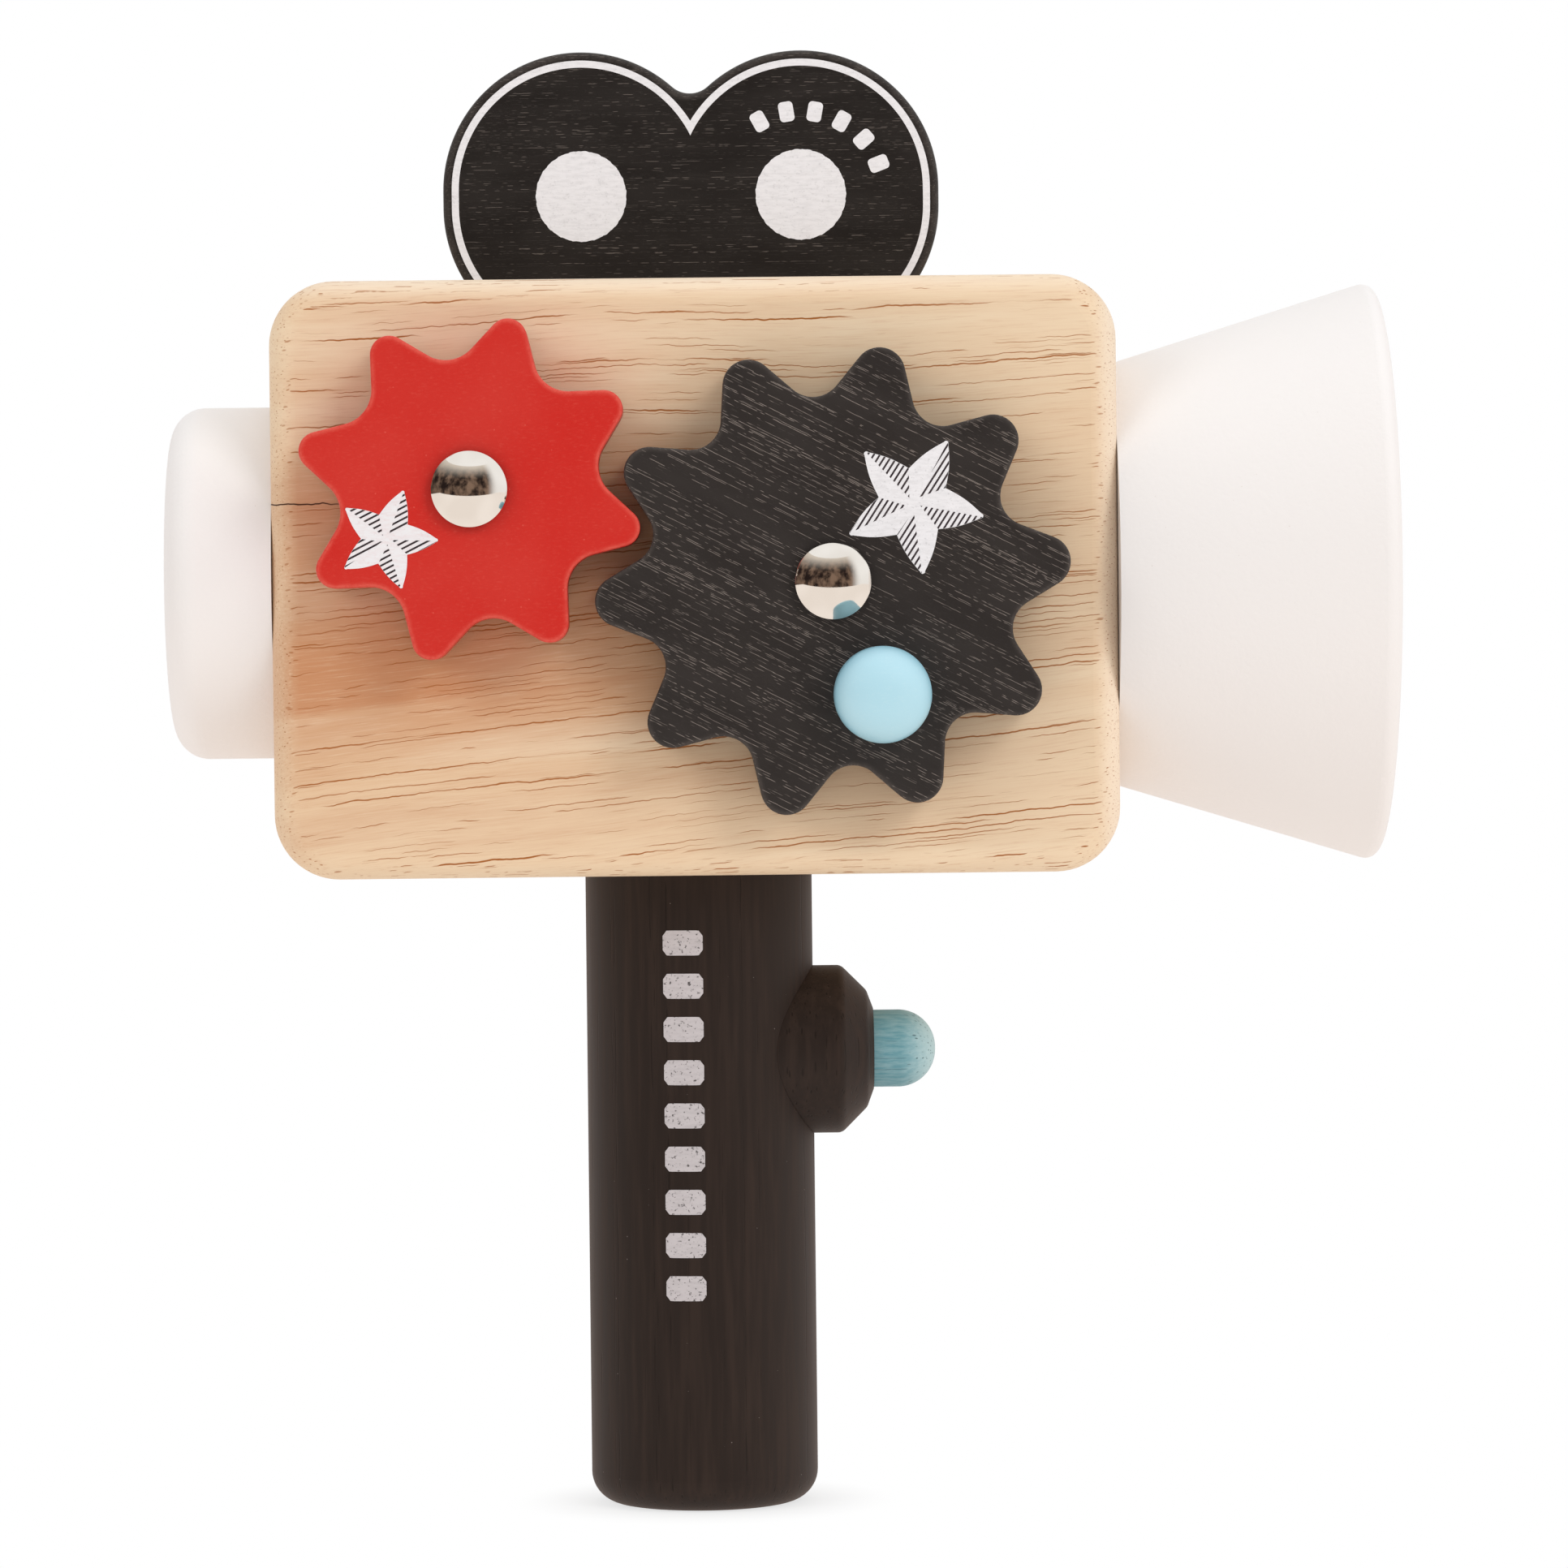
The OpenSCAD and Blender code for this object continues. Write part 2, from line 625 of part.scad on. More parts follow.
// Coil of wire along local z, whose ends are closed
module coil(coil_r, wire_r, len, turns, steps, sides) {
    count = turns * steps;
    rise = len - 2 * wire_r;
    points = [
        for (i = [0:count], p = coil_ring(360 * i / steps, coil_r, wire_r, wire_r + rise * i / count, sides))
            p
    ];
    skin = [
        for (i = [0:count - 1], s = [0:sides - 1])
            let (a = i * sides + s, b = i * sides + (s + 1) % sides)
            each [[a, a + sides, b], [b, a + sides, b + sides]]
    ];
    start_cap = [for (s = [1:sides - 2]) [0, s, s + 1]];
    end_cap = [for (s = [1:sides - 2]) [count * sides, count * sides + s + 1, count * sides + s]];
    polyhedron(points, concat(skin, start_cap, end_cap));
}

// Return spring between its pocket in the handle and the button's flange
module button_spring() {
    color(steel) translate([pocket_floor_x + glue_gap, 0, button_z]) along_x()
        coil(spring_d / 2 - spring_wire_d / 2, spring_wire_d / 2,
             flange_back_x - pocket_floor_x - 2 * glue_gap, spring_turns, 12, 6);
}

body_block();
reel_plate();
reel_dowels();
eyepiece();
lens_hood();
lens_sleeve();
kaleidoscope_lens();
lens_ring();
black_gear();
crank_knob();
red_gear();
gear_pin(black_pin);  // black_gear_pin
gear_pin(red_pin);  // red_gear_pin
back_washer(black_pin);  // black_gear_back_washer
back_washer(red_pin);  // red_gear_back_washer
front_washer(black_pin);  // black_gear_front_washer
front_washer(red_pin);  // red_gear_front_washer
handle();
handle_dowel();
button_housing();
push_button();
button_spring();
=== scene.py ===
import json
import math

import bmesh
import bpy
from bpy.props import FloatProperty, FloatVectorProperty, IntProperty, PointerProperty
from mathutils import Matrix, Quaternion, Vector


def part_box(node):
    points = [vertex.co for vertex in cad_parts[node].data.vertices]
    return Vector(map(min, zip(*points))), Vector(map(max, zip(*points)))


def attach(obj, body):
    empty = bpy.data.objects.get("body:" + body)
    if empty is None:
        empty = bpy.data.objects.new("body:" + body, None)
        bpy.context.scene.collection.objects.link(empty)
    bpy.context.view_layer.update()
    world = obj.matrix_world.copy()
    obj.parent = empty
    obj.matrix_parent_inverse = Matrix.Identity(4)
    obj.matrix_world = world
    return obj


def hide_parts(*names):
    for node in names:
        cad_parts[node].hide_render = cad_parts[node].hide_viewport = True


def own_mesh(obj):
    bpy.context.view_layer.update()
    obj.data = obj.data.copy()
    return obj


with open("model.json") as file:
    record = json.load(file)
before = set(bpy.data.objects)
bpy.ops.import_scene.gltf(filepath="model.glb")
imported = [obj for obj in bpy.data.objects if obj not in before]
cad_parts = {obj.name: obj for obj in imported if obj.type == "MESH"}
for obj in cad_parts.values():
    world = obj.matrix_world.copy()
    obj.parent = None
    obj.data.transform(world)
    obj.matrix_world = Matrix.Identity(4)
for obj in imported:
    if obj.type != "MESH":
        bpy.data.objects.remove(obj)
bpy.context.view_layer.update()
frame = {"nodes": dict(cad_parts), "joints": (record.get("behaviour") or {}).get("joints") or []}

bl_info = {
    "name": "Toy film camera",
    "version": (1, 0, 0),
    "blender": (4, 5, 0),
    "location": "View3D > Sidebar > Film camera",
    "description": "Dresses a wooden toy film camera with grain, paint and printed marks",
    "category": "Object",
}

MM = 0.001
TURN = 2 * math.pi

# Kinds of node trees and of their sockets
SHADER_TREE, GEOMETRY_TREE = "ShaderNodeTree", "GeometryNodeTree"
FLOAT, VECTOR, INTEGER = "NodeSocketFloat", "NodeSocketVector", "NodeSocketInt"
GEOMETRY, MATERIAL = "NodeSocketGeometry", "NodeSocketMaterial"

# Places of the sockets of a Mix node for colours: share, first and second colour, and the result
MIX_INPUTS = (0, 6, 7)
MIX_OUTPUT = 2

# Gears, seen from the front, with angles in degrees: the proportions of the teeth in modules, the angle of
# one tooth, and the star's place from the pin in millimetres, its turn, its hatching's turn and its wear
GEAR_MODULE = 6.02
GEARS = {
    "black_gear": dict(
        body="crank", joint="black_gear_spin", slot="black_paint", paint="black",
        teeth=10, tooth_angle=148.8, addendum=0.738, dedendum=0.554, tip_round=0.621, valley_round=0.730,
        star=(11.75, 11.1), star_turn=61.0, hatch_turn=57.0, star_worn=0.15,
    ),
    "red_gear": dict(
        body="idler", joint="red_gear_spin", slot="red_paint", paint="red",
        teeth=8, tooth_angle=-14.8, addendum=0.211, dedendum=0.862, tip_round=0.461, valley_round=0.839,
        star=(-12.0, -7.1), star_turn=-1.7, hatch_turn=27.0, star_worn=0.1,
    ),
}
GEAR_BORE_R = 2.58

# Extra ring round the bores of the gears, in bores, and the steps along a tooth's tip, flank and valley
BORE_RING = 1.15
TIP_STEPS = 7
FLANK_STEPS = 3
VALLEY_STEPS = 8

# Reach in metres within which points are merged: in any piece, and from tooth to tooth
MERGE_REACH = 1e-7
TOOTH_WELD = 2e-6

# Sections with rounded edges, in millimetres: how far in the flat of a face starts, and the distances of the
# rings that keep face and wall even beside the rounding
FLAT_INSET = 2.4
FACE_RINGS = (0.45, 0.12)
WALL_RING = 0.4
EDGE_STEPS = 5

# Turned pieces: points round them and along a dome, and the angle in degrees from which an edge stays sharp
ROUND_STEPS = 96
DOME_STEPS = 24
SHARP_ANGLE = 40.0

# Gear pins, in millimetres
PIN_HEAD_R = 5.5
PIN_HEAD = 2.8
PIN_DOME = 2.4
PIN_SHANK_R = 2.5

# Crank knob, in millimetres: a painted shade darkens its side between these depths behind the tip
KNOB_DOME = 5.0
KNOB_HEIGHT = 12.0
KNOB_STEM_R = 3.5
KNOB_SHADE_START = 1.4
KNOB_SHADE_END = 4.8

# Reel plate, in millimetres: the centres stand above the block by the rise
REEL_R = 20.6
REEL_HALF_SPACING = 16.4
REEL_RISE = 14.3
REEL_STRAIGHT = 2.6
REEL_NOTCH_R = 4.0

# Steps along the reels' arcs: below the centres, above them on the plate or the white line, and in the notch
REEL_FOOT_STEPS = 14
REEL_PLATE_STEPS = 56
REEL_LINE_STEPS = 60
REEL_NOTCH_STEPS = 10

# Reel print, in millimetres and degrees: the line ends just over the block, and the hubs are slightly uneven,
# in waves with a count in a turn, a share and a shift from hub to hub
LINE_LIFT = 0.05
HUB_DROP = 0.95
HUB_POINTS = 160
HUB_UNEVEN = 0.035
HUB_WAVES = ((23, 1.0, 1.0), (41, 0.7, 2.1), (67, 0.5, 0.0))
REEL_MARK = dict(width=3.0, height=2.2, corner=0.6)
REEL_MARKS_START = 21.0
REEL_MARKS_SPAN = 98.0
MARK_CORNER_STEPS = 5

# Stars, in parts of their radius: the notches between the arms, the rounding of the points, the bulge of the
# arms' sides, and where the hatching starts beside the arm's middle and along it, ends, and reaches in all
STAR_ARMS = 5
STAR_NOTCH = 0.5
STAR_TIP = 0.035
STAR_BULGE = 0.03
STAR_SIDE_STEPS = 8
STAR_TIP_ANGLES = (0.4, 0.8, 1.2)
HATCH_MIDDLE = 0.012
HATCH_START = 0.1
HATCH_END = 0.97
HATCH_REACH = 2.2

# Marks on the handle, in millimetres: they lie a little to the left of its middle
HANDLE_MARK = dict(width=6.0, height=3.7, corner=0.8)
HANDLE_MARK_STEPS = 10
HANDLE_MARK_SHIFT = 2.5
HANDLE_MARK_LOWEST = 33.5

# Depths of print, in millimetres: all print sinks into its ground, and the hatching into its star
PRINT_SINK = 0.02
HATCH_SINK = 0.01
HATCH_PROUD = 0.02
HATCH_DEPTH = 1.0

# Push button and its spring, in millimetres: the paint is rubbed over this length of the button's end
SPRING_R = 4.05
SPRING_WIRE_R = 0.45
SPRING_TURNS = 6
SPRING_TURN_STEPS = 32
SPRING_WIRE_STEPS = 12
BUTTON_RUBBED = 5.8

# Zones of the block's wood, in the order in which they are laid on: the colour, its share, and where it
# grows from none to full, in millimetres from the block's lower corner at the eyepiece. X runs along the
# block, Z up it, and the level up it too but following the grain.
WOOD_ZONES = (
    ("wood_brown", 0.5, ("level", 18.1, 29.1), ("level", 73.1, 51.1), ("x", 102.0, 57.0)),
    ("wood_pale", 0.35, ("level", 23.1, 11.1)),
    ("wood_pale", 0.4, ("z", 63.1, 85.1)),
    # Painted highlight along the top edge
    ("wood_top", 0.6, ("z", 84.1, 87.6)),
    ("wood_pale", 0.45, ("x", 72.0, 124.0)),
    # Painted highlight along the bottom edge, from light bounced up off the floor
    ("wood_pale", 0.5, ("z", 4.1, 0.1)),
    # Painted highlight along the edge beside the hood, where the hood shades it
    ("wood_end", 0.7, ("x", 120.0, 123.5)),
    ("wood_brown", 0.75, ("level", 29.7, 31.3), ("level", 46.1, 35.1), ("x", 42.0, 22.0)),
    # Painted highlight along the edge at the eyepiece
    ("wood_pale", 0.4, ("x", 4.5, 0.5)),
)

# Slope of the grain at two heights above the block's foot, and how far it sways and its vessels ripple, in
# millimetres
GRAIN_HEIGHTS = (0.1, 90.1)
GRAIN_SLOPES = (0.12, 0.025)
GRAIN_SWAY = 7.0
GRAIN_RIPPLE = 0.9

# Coarse vessels fade between these distances from the block's ends. A fine crack lies at the eyepiece's end,
# at this height above the foot, and grows between these distances from that end. All are in millimetres.
VESSEL_FADE = (5.5, 1.0)
CRACK_HEIGHT = 55.5
CRACK_FADE = (15.0, 7.0)

# Camera, in metres, degrees and millimetres of lens
CAMERA_PLACE = (-0.00036, -1.0, 0.12805)
CAMERA_AIM = (0.0130, 0.0, 0.1077)
CAMERA_ROLL = -0.62
CAMERA_LENS = 152.8

# Lamps: place, aim and size in metres, power in watts, and the strength of the light from all round
LAMPS = {
    "key": ((0.78, -1.05, 0.9), (0.0, 0.0, 0.13), 0.6, 5.5),
    "fill": ((-1.1, -0.95, 0.9), (0.0, 0.0, 0.12), 0.9, 5.2),
    "overhead": ((0.1, 0.1, 1.3), (0.0, 0.0, 0.13), 1.0, 3.5),
    "low": ((1.1, -0.9, 0.12), (0.02, 0.0, 0.08), 0.8, 2.2),
}
AMBIENT = 0.57

# Floor: its edges in metres, its own glow, which grows from the foot outwards between these distances in
# millimetres, its colour, and the tint of the light that it sends up
FLOOR_SIDE = 1.6
FLOOR_FRONT = -0.6
FLOOR_BACK = 2.2
FLOOR_FADE = (13.0, 30.0)
FLOOR_GLOW = (0.72, 1.0)
FLOOR_GREY = (0.9, 0.9, 0.9)
FLOOR_WARM = (1.0, 0.93, 0.88)
WHITE = (1.0, 1.0, 1.0)

# Dim room: part of a round wall, in metres and degrees, that grows paler upwards and towards the lens's end,
# between these places in millimetres
ROOM_R = 2.4
ROOM_HEIGHTS = (-0.7, 3.2)
ROOM_START = -195.0
ROOM_SPAN = 173.0
ROOM_STEPS = 24
ROOM_TOP_FADE = (1000.0, 3400.0)
ROOM_END_FADE = (1500.0, 2220.0)


def linear(red, green, blue):
    """Scene colour of a display colour given in steps of 0 to 255."""
    values = (step / 255 for step in (red, green, blue))
    return tuple(v / 12.92 if v <= 0.04045 else ((v + 0.055) / 1.055) ** 2.4 for v in values)


def length(name, description, millimetres):
    return FloatProperty(
        name=name, description=description, default=millimetres * MM, min=0.0, unit="LENGTH", precision=5
    )


def paint(name, description, red, green, blue):
    return FloatVectorProperty(
        name=name, description=description, default=linear(red, green, blue), size=3, min=0.0, max=1.0,
        subtype="COLOR",
    )


class FilmCameraSizes(bpy.types.PropertyGroup):
    """Sizes that can change without touching the frame"""

    gear_edge: length("Gear edge", "Radius of the gears' rounded edges", 0.4)
    plate_edge: length("Plate edge", "Radius of the reel plate's rounded edges", 0.9)
    print_height: length("Print height", "How far printed marks stand proud", 0.05)
    reel_line_inset: length("Reel line inset", "Distance of the white line from the plate's edge", 1.3)
    reel_line_width: length("Reel line width", "Width of the white line round the reels", 1.05)
    hub_radius: length("Hub radius", "Radius of the white reel hubs", 6.75)
    black_star: length("Star on the black gear", "Radius of the star's points", 10.25)
    red_star: length("Star on the red gear", "Radius of the star's points", 7.4)
    hatch_pitch: length("Hatch pitch", "Distance between the lines that shade the stars", 0.75)
    hatch_width: length("Hatch width", "Width of the lines that shade the stars", 0.27)
    reel_mark_radius: length("Reel mark radius", "Distance of the perforation marks from the hub", 12.5)
    handle_mark_pitch: length("Handle mark pitch", "Distance between the marks on the handle", 6.4)
    reel_marks: IntProperty(name="Reel marks", description="Perforation marks on the reel", default=6, min=1)
    handle_marks: IntProperty(name="Handle marks", description="Marks on the handle", default=9, min=1)
    # Lighter edges on the gears and reel plate: rubbed paint, and a painted highlight
    edge_wear: FloatProperty(
        name="Edge wear and highlight", description="How much paint is rubbed thin along edges", default=0.5, min=0.0,
        max=1.0, subtype="FACTOR",
    )


class FilmCameraColours(bpy.types.PropertyGroup):
    """Paints, stains and bare materials"""

    wood_pale: paint("Pale wood", "Light bands of the block", 240, 218, 187)
    wood_tan: paint("Tan wood", "Main colour of the block", 226, 191, 154)
    wood_brown: paint("Brown wood", "Dark bands of the block", 196, 134, 90)
    # Painted highlights: the block's top edge, and its edge beside the hood
    wood_top: paint("Top edge", "Block's edge under the reels", 242, 226, 206)
    wood_end: paint("End edge", "Block's edge beside the hood", 246, 230, 210)
    wood_pore: paint("Wood pores", "Vessel streaks in the block", 166, 96, 34)
    wood_crack: paint("Wood crack", "Drying crack in the block's end", 72, 44, 28)
    birch: paint("Birch", "Dowels and sleeve", 228, 205, 165)
    black: paint("Black stain", "Crank gear", 43, 38, 36)
    # Also laid on the black edges as rubbed stain and a painted highlight
    plate_black: paint("Plate black", "Reel plate", 31, 27, 25)
    black_fibre: paint("Black fibre", "Grain that shows through the black", 150, 138, 130)
    brown: paint("Brown stain", "Handle and button housing", 33, 26, 23)
    brown_worn: paint("Worn brown", "Rubbed grain of the handle", 84, 66, 57)
    brown_pore: paint("Brown pores", "Pores of the handle", 20, 15, 12)
    brown_speck: paint("Brown specks", "Dust on the handle", 170, 160, 156)
    brown_gloss: paint("Brown gloss", "Tint of the handle's gloss", 248, 228, 219)
    brown_sheen: paint("Brown sheen", "Tint of the handle's sheen", 214, 178, 160)
    white: paint("White paint", "Eyepiece and hood", 241, 237, 235)
    white_worn: paint("Worn white", "Rubbed edges of the white paint", 247, 243, 240)
    white_speck: paint("White specks", "Specks in the white paint", 214, 204, 198)
    red: paint("Red paint", "Driven gear", 204, 35, 26)
    # Also the painted highlight along the red gear's edges
    red_worn: paint("Worn red", "Rubbed edges of the red gear", 230, 104, 88)
    blue: paint("Blue paint", "Crank knob", 178, 221, 235)
    blue_worn: paint("Worn blue", "Rubbed places on the knob", 214, 236, 242)
    blue_speck: paint("Blue specks", "Specks in the knob's paint", 120, 160, 172)
    # Painted shade for the knob's side, not a paint of its own
    blue_painted_shade: paint("Deep blue", "Side of the knob", 112, 178, 200)
    teal: paint("Teal paint", "Push button", 95, 150, 162)
    teal_worn: paint("Worn teal", "Rubbed end of the push button", 196, 219, 220)
    teal_pore: paint("Teal pores", "Pores of the push button", 52, 84, 92)
    print_white: paint("White print", "Stars, hubs, lines and marks", 236, 234, 236)
    print_grey: paint("Grey print", "Worn marks on the handle", 196, 190, 192)
    print_dark: paint("Dark print", "Lines that shade the stars", 44, 34, 40)
    chrome: paint("Chrome", "Pin heads", 238, 233, 226)
    chrome_dull: paint("Dull chrome", "Handled places on the pin heads", 230, 224, 216)
    steel: paint("Spring steel", "Spring wire", 168, 168, 168)
    steel_dark: paint("Dark steel", "Drawn marks on the wire", 120, 118, 116)
    fibre: paint("Dark fibre", "Washers and lens ring", 58, 53, 50)
    fibre_pale: paint("Pale fibre", "Light threads in the fibre", 88, 80, 74)
    acrylic: paint("Clear acrylic", "Lens", 236, 246, 250)
    acrylic_smear: paint("Lens smears", "Handled places on the lens", 246, 250, 252)
    room_dark: paint("Dark room", "Dark shapes of the room", 40, 31, 29)
    room_warm: paint("Warm room", "Lit shapes of the room", 138, 114, 98)
    room_pale: paint("Pale room", "Upper part of the room", 226, 218, 208)


# Node building


def feed(tree, socket, value):
    """Links a socket to another one, or sets its own value."""
    if isinstance(value, bpy.types.NodeSocket):
        tree.links.new(value, socket)
    else:
        socket.default_value = value


def add(tree, kind, settings=None, **inputs):
    """New node with its settings and its inputs by name, where spaces are written as underscores."""
    made = tree.nodes.new(kind)
    for key, value in (settings or {}).items():
        setattr(made, key, value)
    for key, value in inputs.items():
        feed(tree, made.inputs[key.replace("_", " ")], value)
    return made


def result(tree, kind, **inputs):
    """First output of a new node with its inputs by name."""
    return add(tree, kind, None, **inputs).outputs[0]


def add_in_order(tree, kind, *values, **settings):
    """New node with its settings, and its first inputs in their order."""
    made = add(tree, kind, settings)
    for socket, value in zip(made.inputs, values):
        feed(tree, socket, value)
    return made


def calc(tree, operation, *values):
    """Output of a Math node."""
    return add_in_order(tree, "ShaderNodeMath", *values, operation=operation).outputs[0]


def product(tree, first, *others):
    """All values multiplied."""
    for value in others:
        first = calc(tree, "MULTIPLY", first, value)
    return first


def vector(tree, x=0.0, y=0.0, z=0.0):
    return add_in_order(tree, "ShaderNodeCombineXYZ", x, y, z).outputs[0]


def parts(tree, source):
    """X, Y and Z of a vector, or red, green and blue of a colour."""
    return tuple(add_in_order(tree, "ShaderNodeSeparateXYZ", source).outputs)


def smooth(tree, value, low, high, start=0.0, end=1.0):
    """Smooth step of a value between two limits."""
    limits = (value, low, high, start, end)
    return add_in_order(tree, "ShaderNodeMapRange", *limits, interpolation_type="SMOOTHSTEP").outputs[0]


def opaque(colour):
    """Colour with its alpha; a socket stays as it is."""
    return colour if isinstance(colour, bpy.types.NodeSocket) else (*colour, 1.0)


def mix(tree, share, first, second):
    """Colour between two colours."""
    made = add(tree, "ShaderNodeMix", {"data_type": "RGBA", "clamp_factor": True})
    for place, value in zip(MIX_INPUTS, (share, opaque(first), opaque(second))):
        feed(tree, made.inputs[place], value)
    return made.outputs[MIX_OUTPUT]


def clouds(tree, source, detail=2.0, roughness=0.5):
    """Outputs of a noise texture in the units of its vector."""
    inputs = dict(Vector=source, Scale=1.0, Detail=detail, Roughness=roughness)
    return add(tree, "ShaderNodeTexNoise", None, **inputs).outputs


def noise(tree, source, scale, detail=2.0, roughness=0.5):
    """Value of a noise texture on a vector that is multiplied by a scale."""
    scaled = add_in_order(tree, "ShaderNodeVectorMath", source, scale, operation="MULTIPLY")
    return clouds(tree, scaled.outputs[0], detail, roughness)[0]


def node_group(kind, name, inputs, outputs):
    """Makes a function that fills a node group into one that gives the group, built at the first call."""

    def wrap(fill):
        def group():
            if name in bpy.data.node_groups:
                return bpy.data.node_groups[name]
            tree = bpy.data.node_groups.new(name, kind)
            for way, sockets in (("INPUT", inputs), ("OUTPUT", outputs)):
                for label, socket_type in sockets.items():
                    tree.interface.new_socket(label, in_out=way, socket_type=socket_type)
            given, out = tree.nodes.new("NodeGroupInput"), tree.nodes.new("NodeGroupOutput")
            fill(tree, given.outputs, out.inputs)
            return tree

        return group

    return wrap


@node_group(
    SHADER_TREE, "Wood pores", dict(Vector=VECTOR, Cell=FLOAT, Radius=FLOAT, Wander=FLOAT, Run=FLOAT),
    dict(Mask=FLOAT, Tone=FLOAT),
)
def pores_group(tree, given, out):
    """Wood vessels that run along X and wander: streaks on the sides, dots on the ends."""
    x, y, z = parts(tree, given["Vector"])
    along = calc(tree, "DIVIDE", x, given["Run"])
    near = calc(tree, "DIVIDE", 0.3, given["Cell"])
    spread = vector(tree, along, product(tree, y, near), product(tree, z, near))
    drift_y, drift_z, _ = parts(tree, clouds(tree, spread, 1.5)["Color"])

    def across(place, drifted, share):
        reach = product(tree, given["Wander"], share)
        moved = calc(tree, "MULTIPLY_ADD", calc(tree, "SUBTRACT", drifted, 0.5), reach, place)
        return calc(tree, "DIVIDE", moved, given["Cell"])

    cells = add(
        tree, "ShaderNodeTexVoronoi", {"voronoi_dimensions": "2D"},
        Vector=vector(tree, across(y, drift_y, 1.0), across(z, drift_z, 0.35)), Scale=1.0,
    ).outputs
    tone = parts(tree, cells["Color"])[0]
    away = product(tree, cells["Distance"], given["Cell"])
    reach = product(tree, given["Radius"], calc(tree, "MULTIPLY_ADD", tone, 0.7, 0.3))
    feed(tree, out["Mask"], smooth(tree, away, product(tree, reach, 0.5), reach, 1.0, 0.0))
    feed(tree, out["Tone"], tone)


@node_group(SHADER_TREE, "Edge wear and highlight", dict(Vector=VECTOR, Edge=FLOAT, Amount=FLOAT), dict(Mask=FLOAT))
def wear_and_highlight_group(tree, given, out):
    """Paint rubbed thin along edges, together with a painted highlight there: an edge value broken up by
    noise.
    """
    patches = noise(tree, given["Vector"], (0.35, 0.35, 0.35), 3.0, 0.6)
    grit = noise(tree, given["Vector"], (3.0, 3.0, 3.0), 2.0, 0.6)
    broken = product(tree, smooth(tree, patches, 0.3, 0.62, 0.25), smooth(tree, grit, 0.25, 0.6, 0.5))
    feed(tree, out["Mask"], product(tree, given["Edge"], broken, given["Amount"]))


@node_group(
    SHADER_TREE, "Brushed coat", dict(Vector=VECTOR, Peel=FLOAT, Speck=FLOAT),
    dict(Height=FLOAT, Specks=FLOAT, Cloud=FLOAT),
)
def coat_group(tree, given, out):
    """Brushed coat: a fine orange peel, small specks and slow changes of tone."""
    peel = add(
        tree, "ShaderNodeVectorMath", {"operation": "SCALE"}, Vector=given["Vector"],
        Scale=calc(tree, "DIVIDE", 1.0, given["Peel"]),
    )
    feed(tree, out["Height"], clouds(tree, peel.outputs[0], 2.0, 0.55)[0])
    spread = 0.55
    dots = add(tree, "ShaderNodeTexVoronoi", None, Vector=given["Vector"], Scale=spread).outputs
    chance = parts(tree, dots["Color"])[1]
    away = calc(tree, "DIVIDE", dots["Distance"], spread)
    reach = product(tree, given["Speck"], smooth(tree, chance, 0.45, 1.0))
    feed(tree, out["Specks"], calc(tree, "LESS_THAN", away, reach))
    feed(tree, out["Cloud"], noise(tree, given["Vector"], (0.06, 0.06, 0.06)))


class Finish:
    """Material whose colours are laid on in turn, on object coordinates in millimetres, grain along X."""

    def __init__(self, name, base, grain_angle=0.0, **constants):
        self.material = bpy.data.materials.new(name)
        self.material.use_nodes = True
        self.tree = self.material.node_tree
        self.shader = self.tree.nodes["Principled BSDF"]
        self.tone = base
        self.place = result(
            self.tree, "ShaderNodeMapping", Vector=add(self.tree, "ShaderNodeTexCoord").outputs["Object"],
            Scale=(1 / MM, 1 / MM, 1 / MM), Rotation=(0.0, math.radians(grain_angle), 0.0),
        )
        for key, value in constants.items():
            self.shader.inputs[key.replace("_", " ")].default_value = value

    def noise(self, scale, detail=2.0, roughness=0.5):
        """Value of a noise texture over the whole piece."""
        return noise(self.tree, self.place, scale, detail, roughness)

    def group(self, shared, **inputs):
        """Outputs of a shared effect, over the whole piece where no other vector is given."""
        inputs.setdefault("Vector", self.place)
        return add(self.tree, "ShaderNodeGroup", {"node_tree": shared()}, **inputs).outputs

    def pores(self, strength, **shape):
        """Masks of wood vessels, all alike and each as strong as its own tone makes it."""
        made = self.group(pores_group, **shape)
        return made["Mask"], product(self.tree, made["Mask"], smooth(self.tree, made["Tone"], *strength))

    def lay(self, colour, share):
        """Lays a colour over those before it."""
        self.tone = mix(self.tree, share, self.tone, colour)

    def fade(self, colour, value, low, high, most=1.0):
        """Lays a colour on that grows with a value, from none to its most."""
        self.lay(colour, smooth(self.tree, value, low, high, 0.0, most))

    def wear_and_highlight(self, colour, amount):
        """Lays a colour on along edges: rubbed paint and a painted highlight."""
        edge = add(self.tree, "ShaderNodeAttribute", {"attribute_name": "edge"}).outputs["Fac"]
        self.lay(colour, self.group(wear_and_highlight_group, Edge=edge, Amount=amount)["Mask"])

    def rough(self, source, low, high):
        """Roughness between two values."""
        feed(self.tree, self.shader.inputs["Roughness"], smooth(self.tree, source, 0.0, 1.0, low, high))

    def bump(self, height, millimetres, strength):
        relief = dict(Height=height, Distance=millimetres * MM, Strength=strength)
        feed(self.tree, self.shader.inputs["Normal"], result(self.tree, "ShaderNodeBump", **relief))

    def done(self):
        """Leads the colours to the shader."""
        feed(self.tree, self.shader.inputs["Base Color"], opaque(self.tone))
        return self.material


# Materials


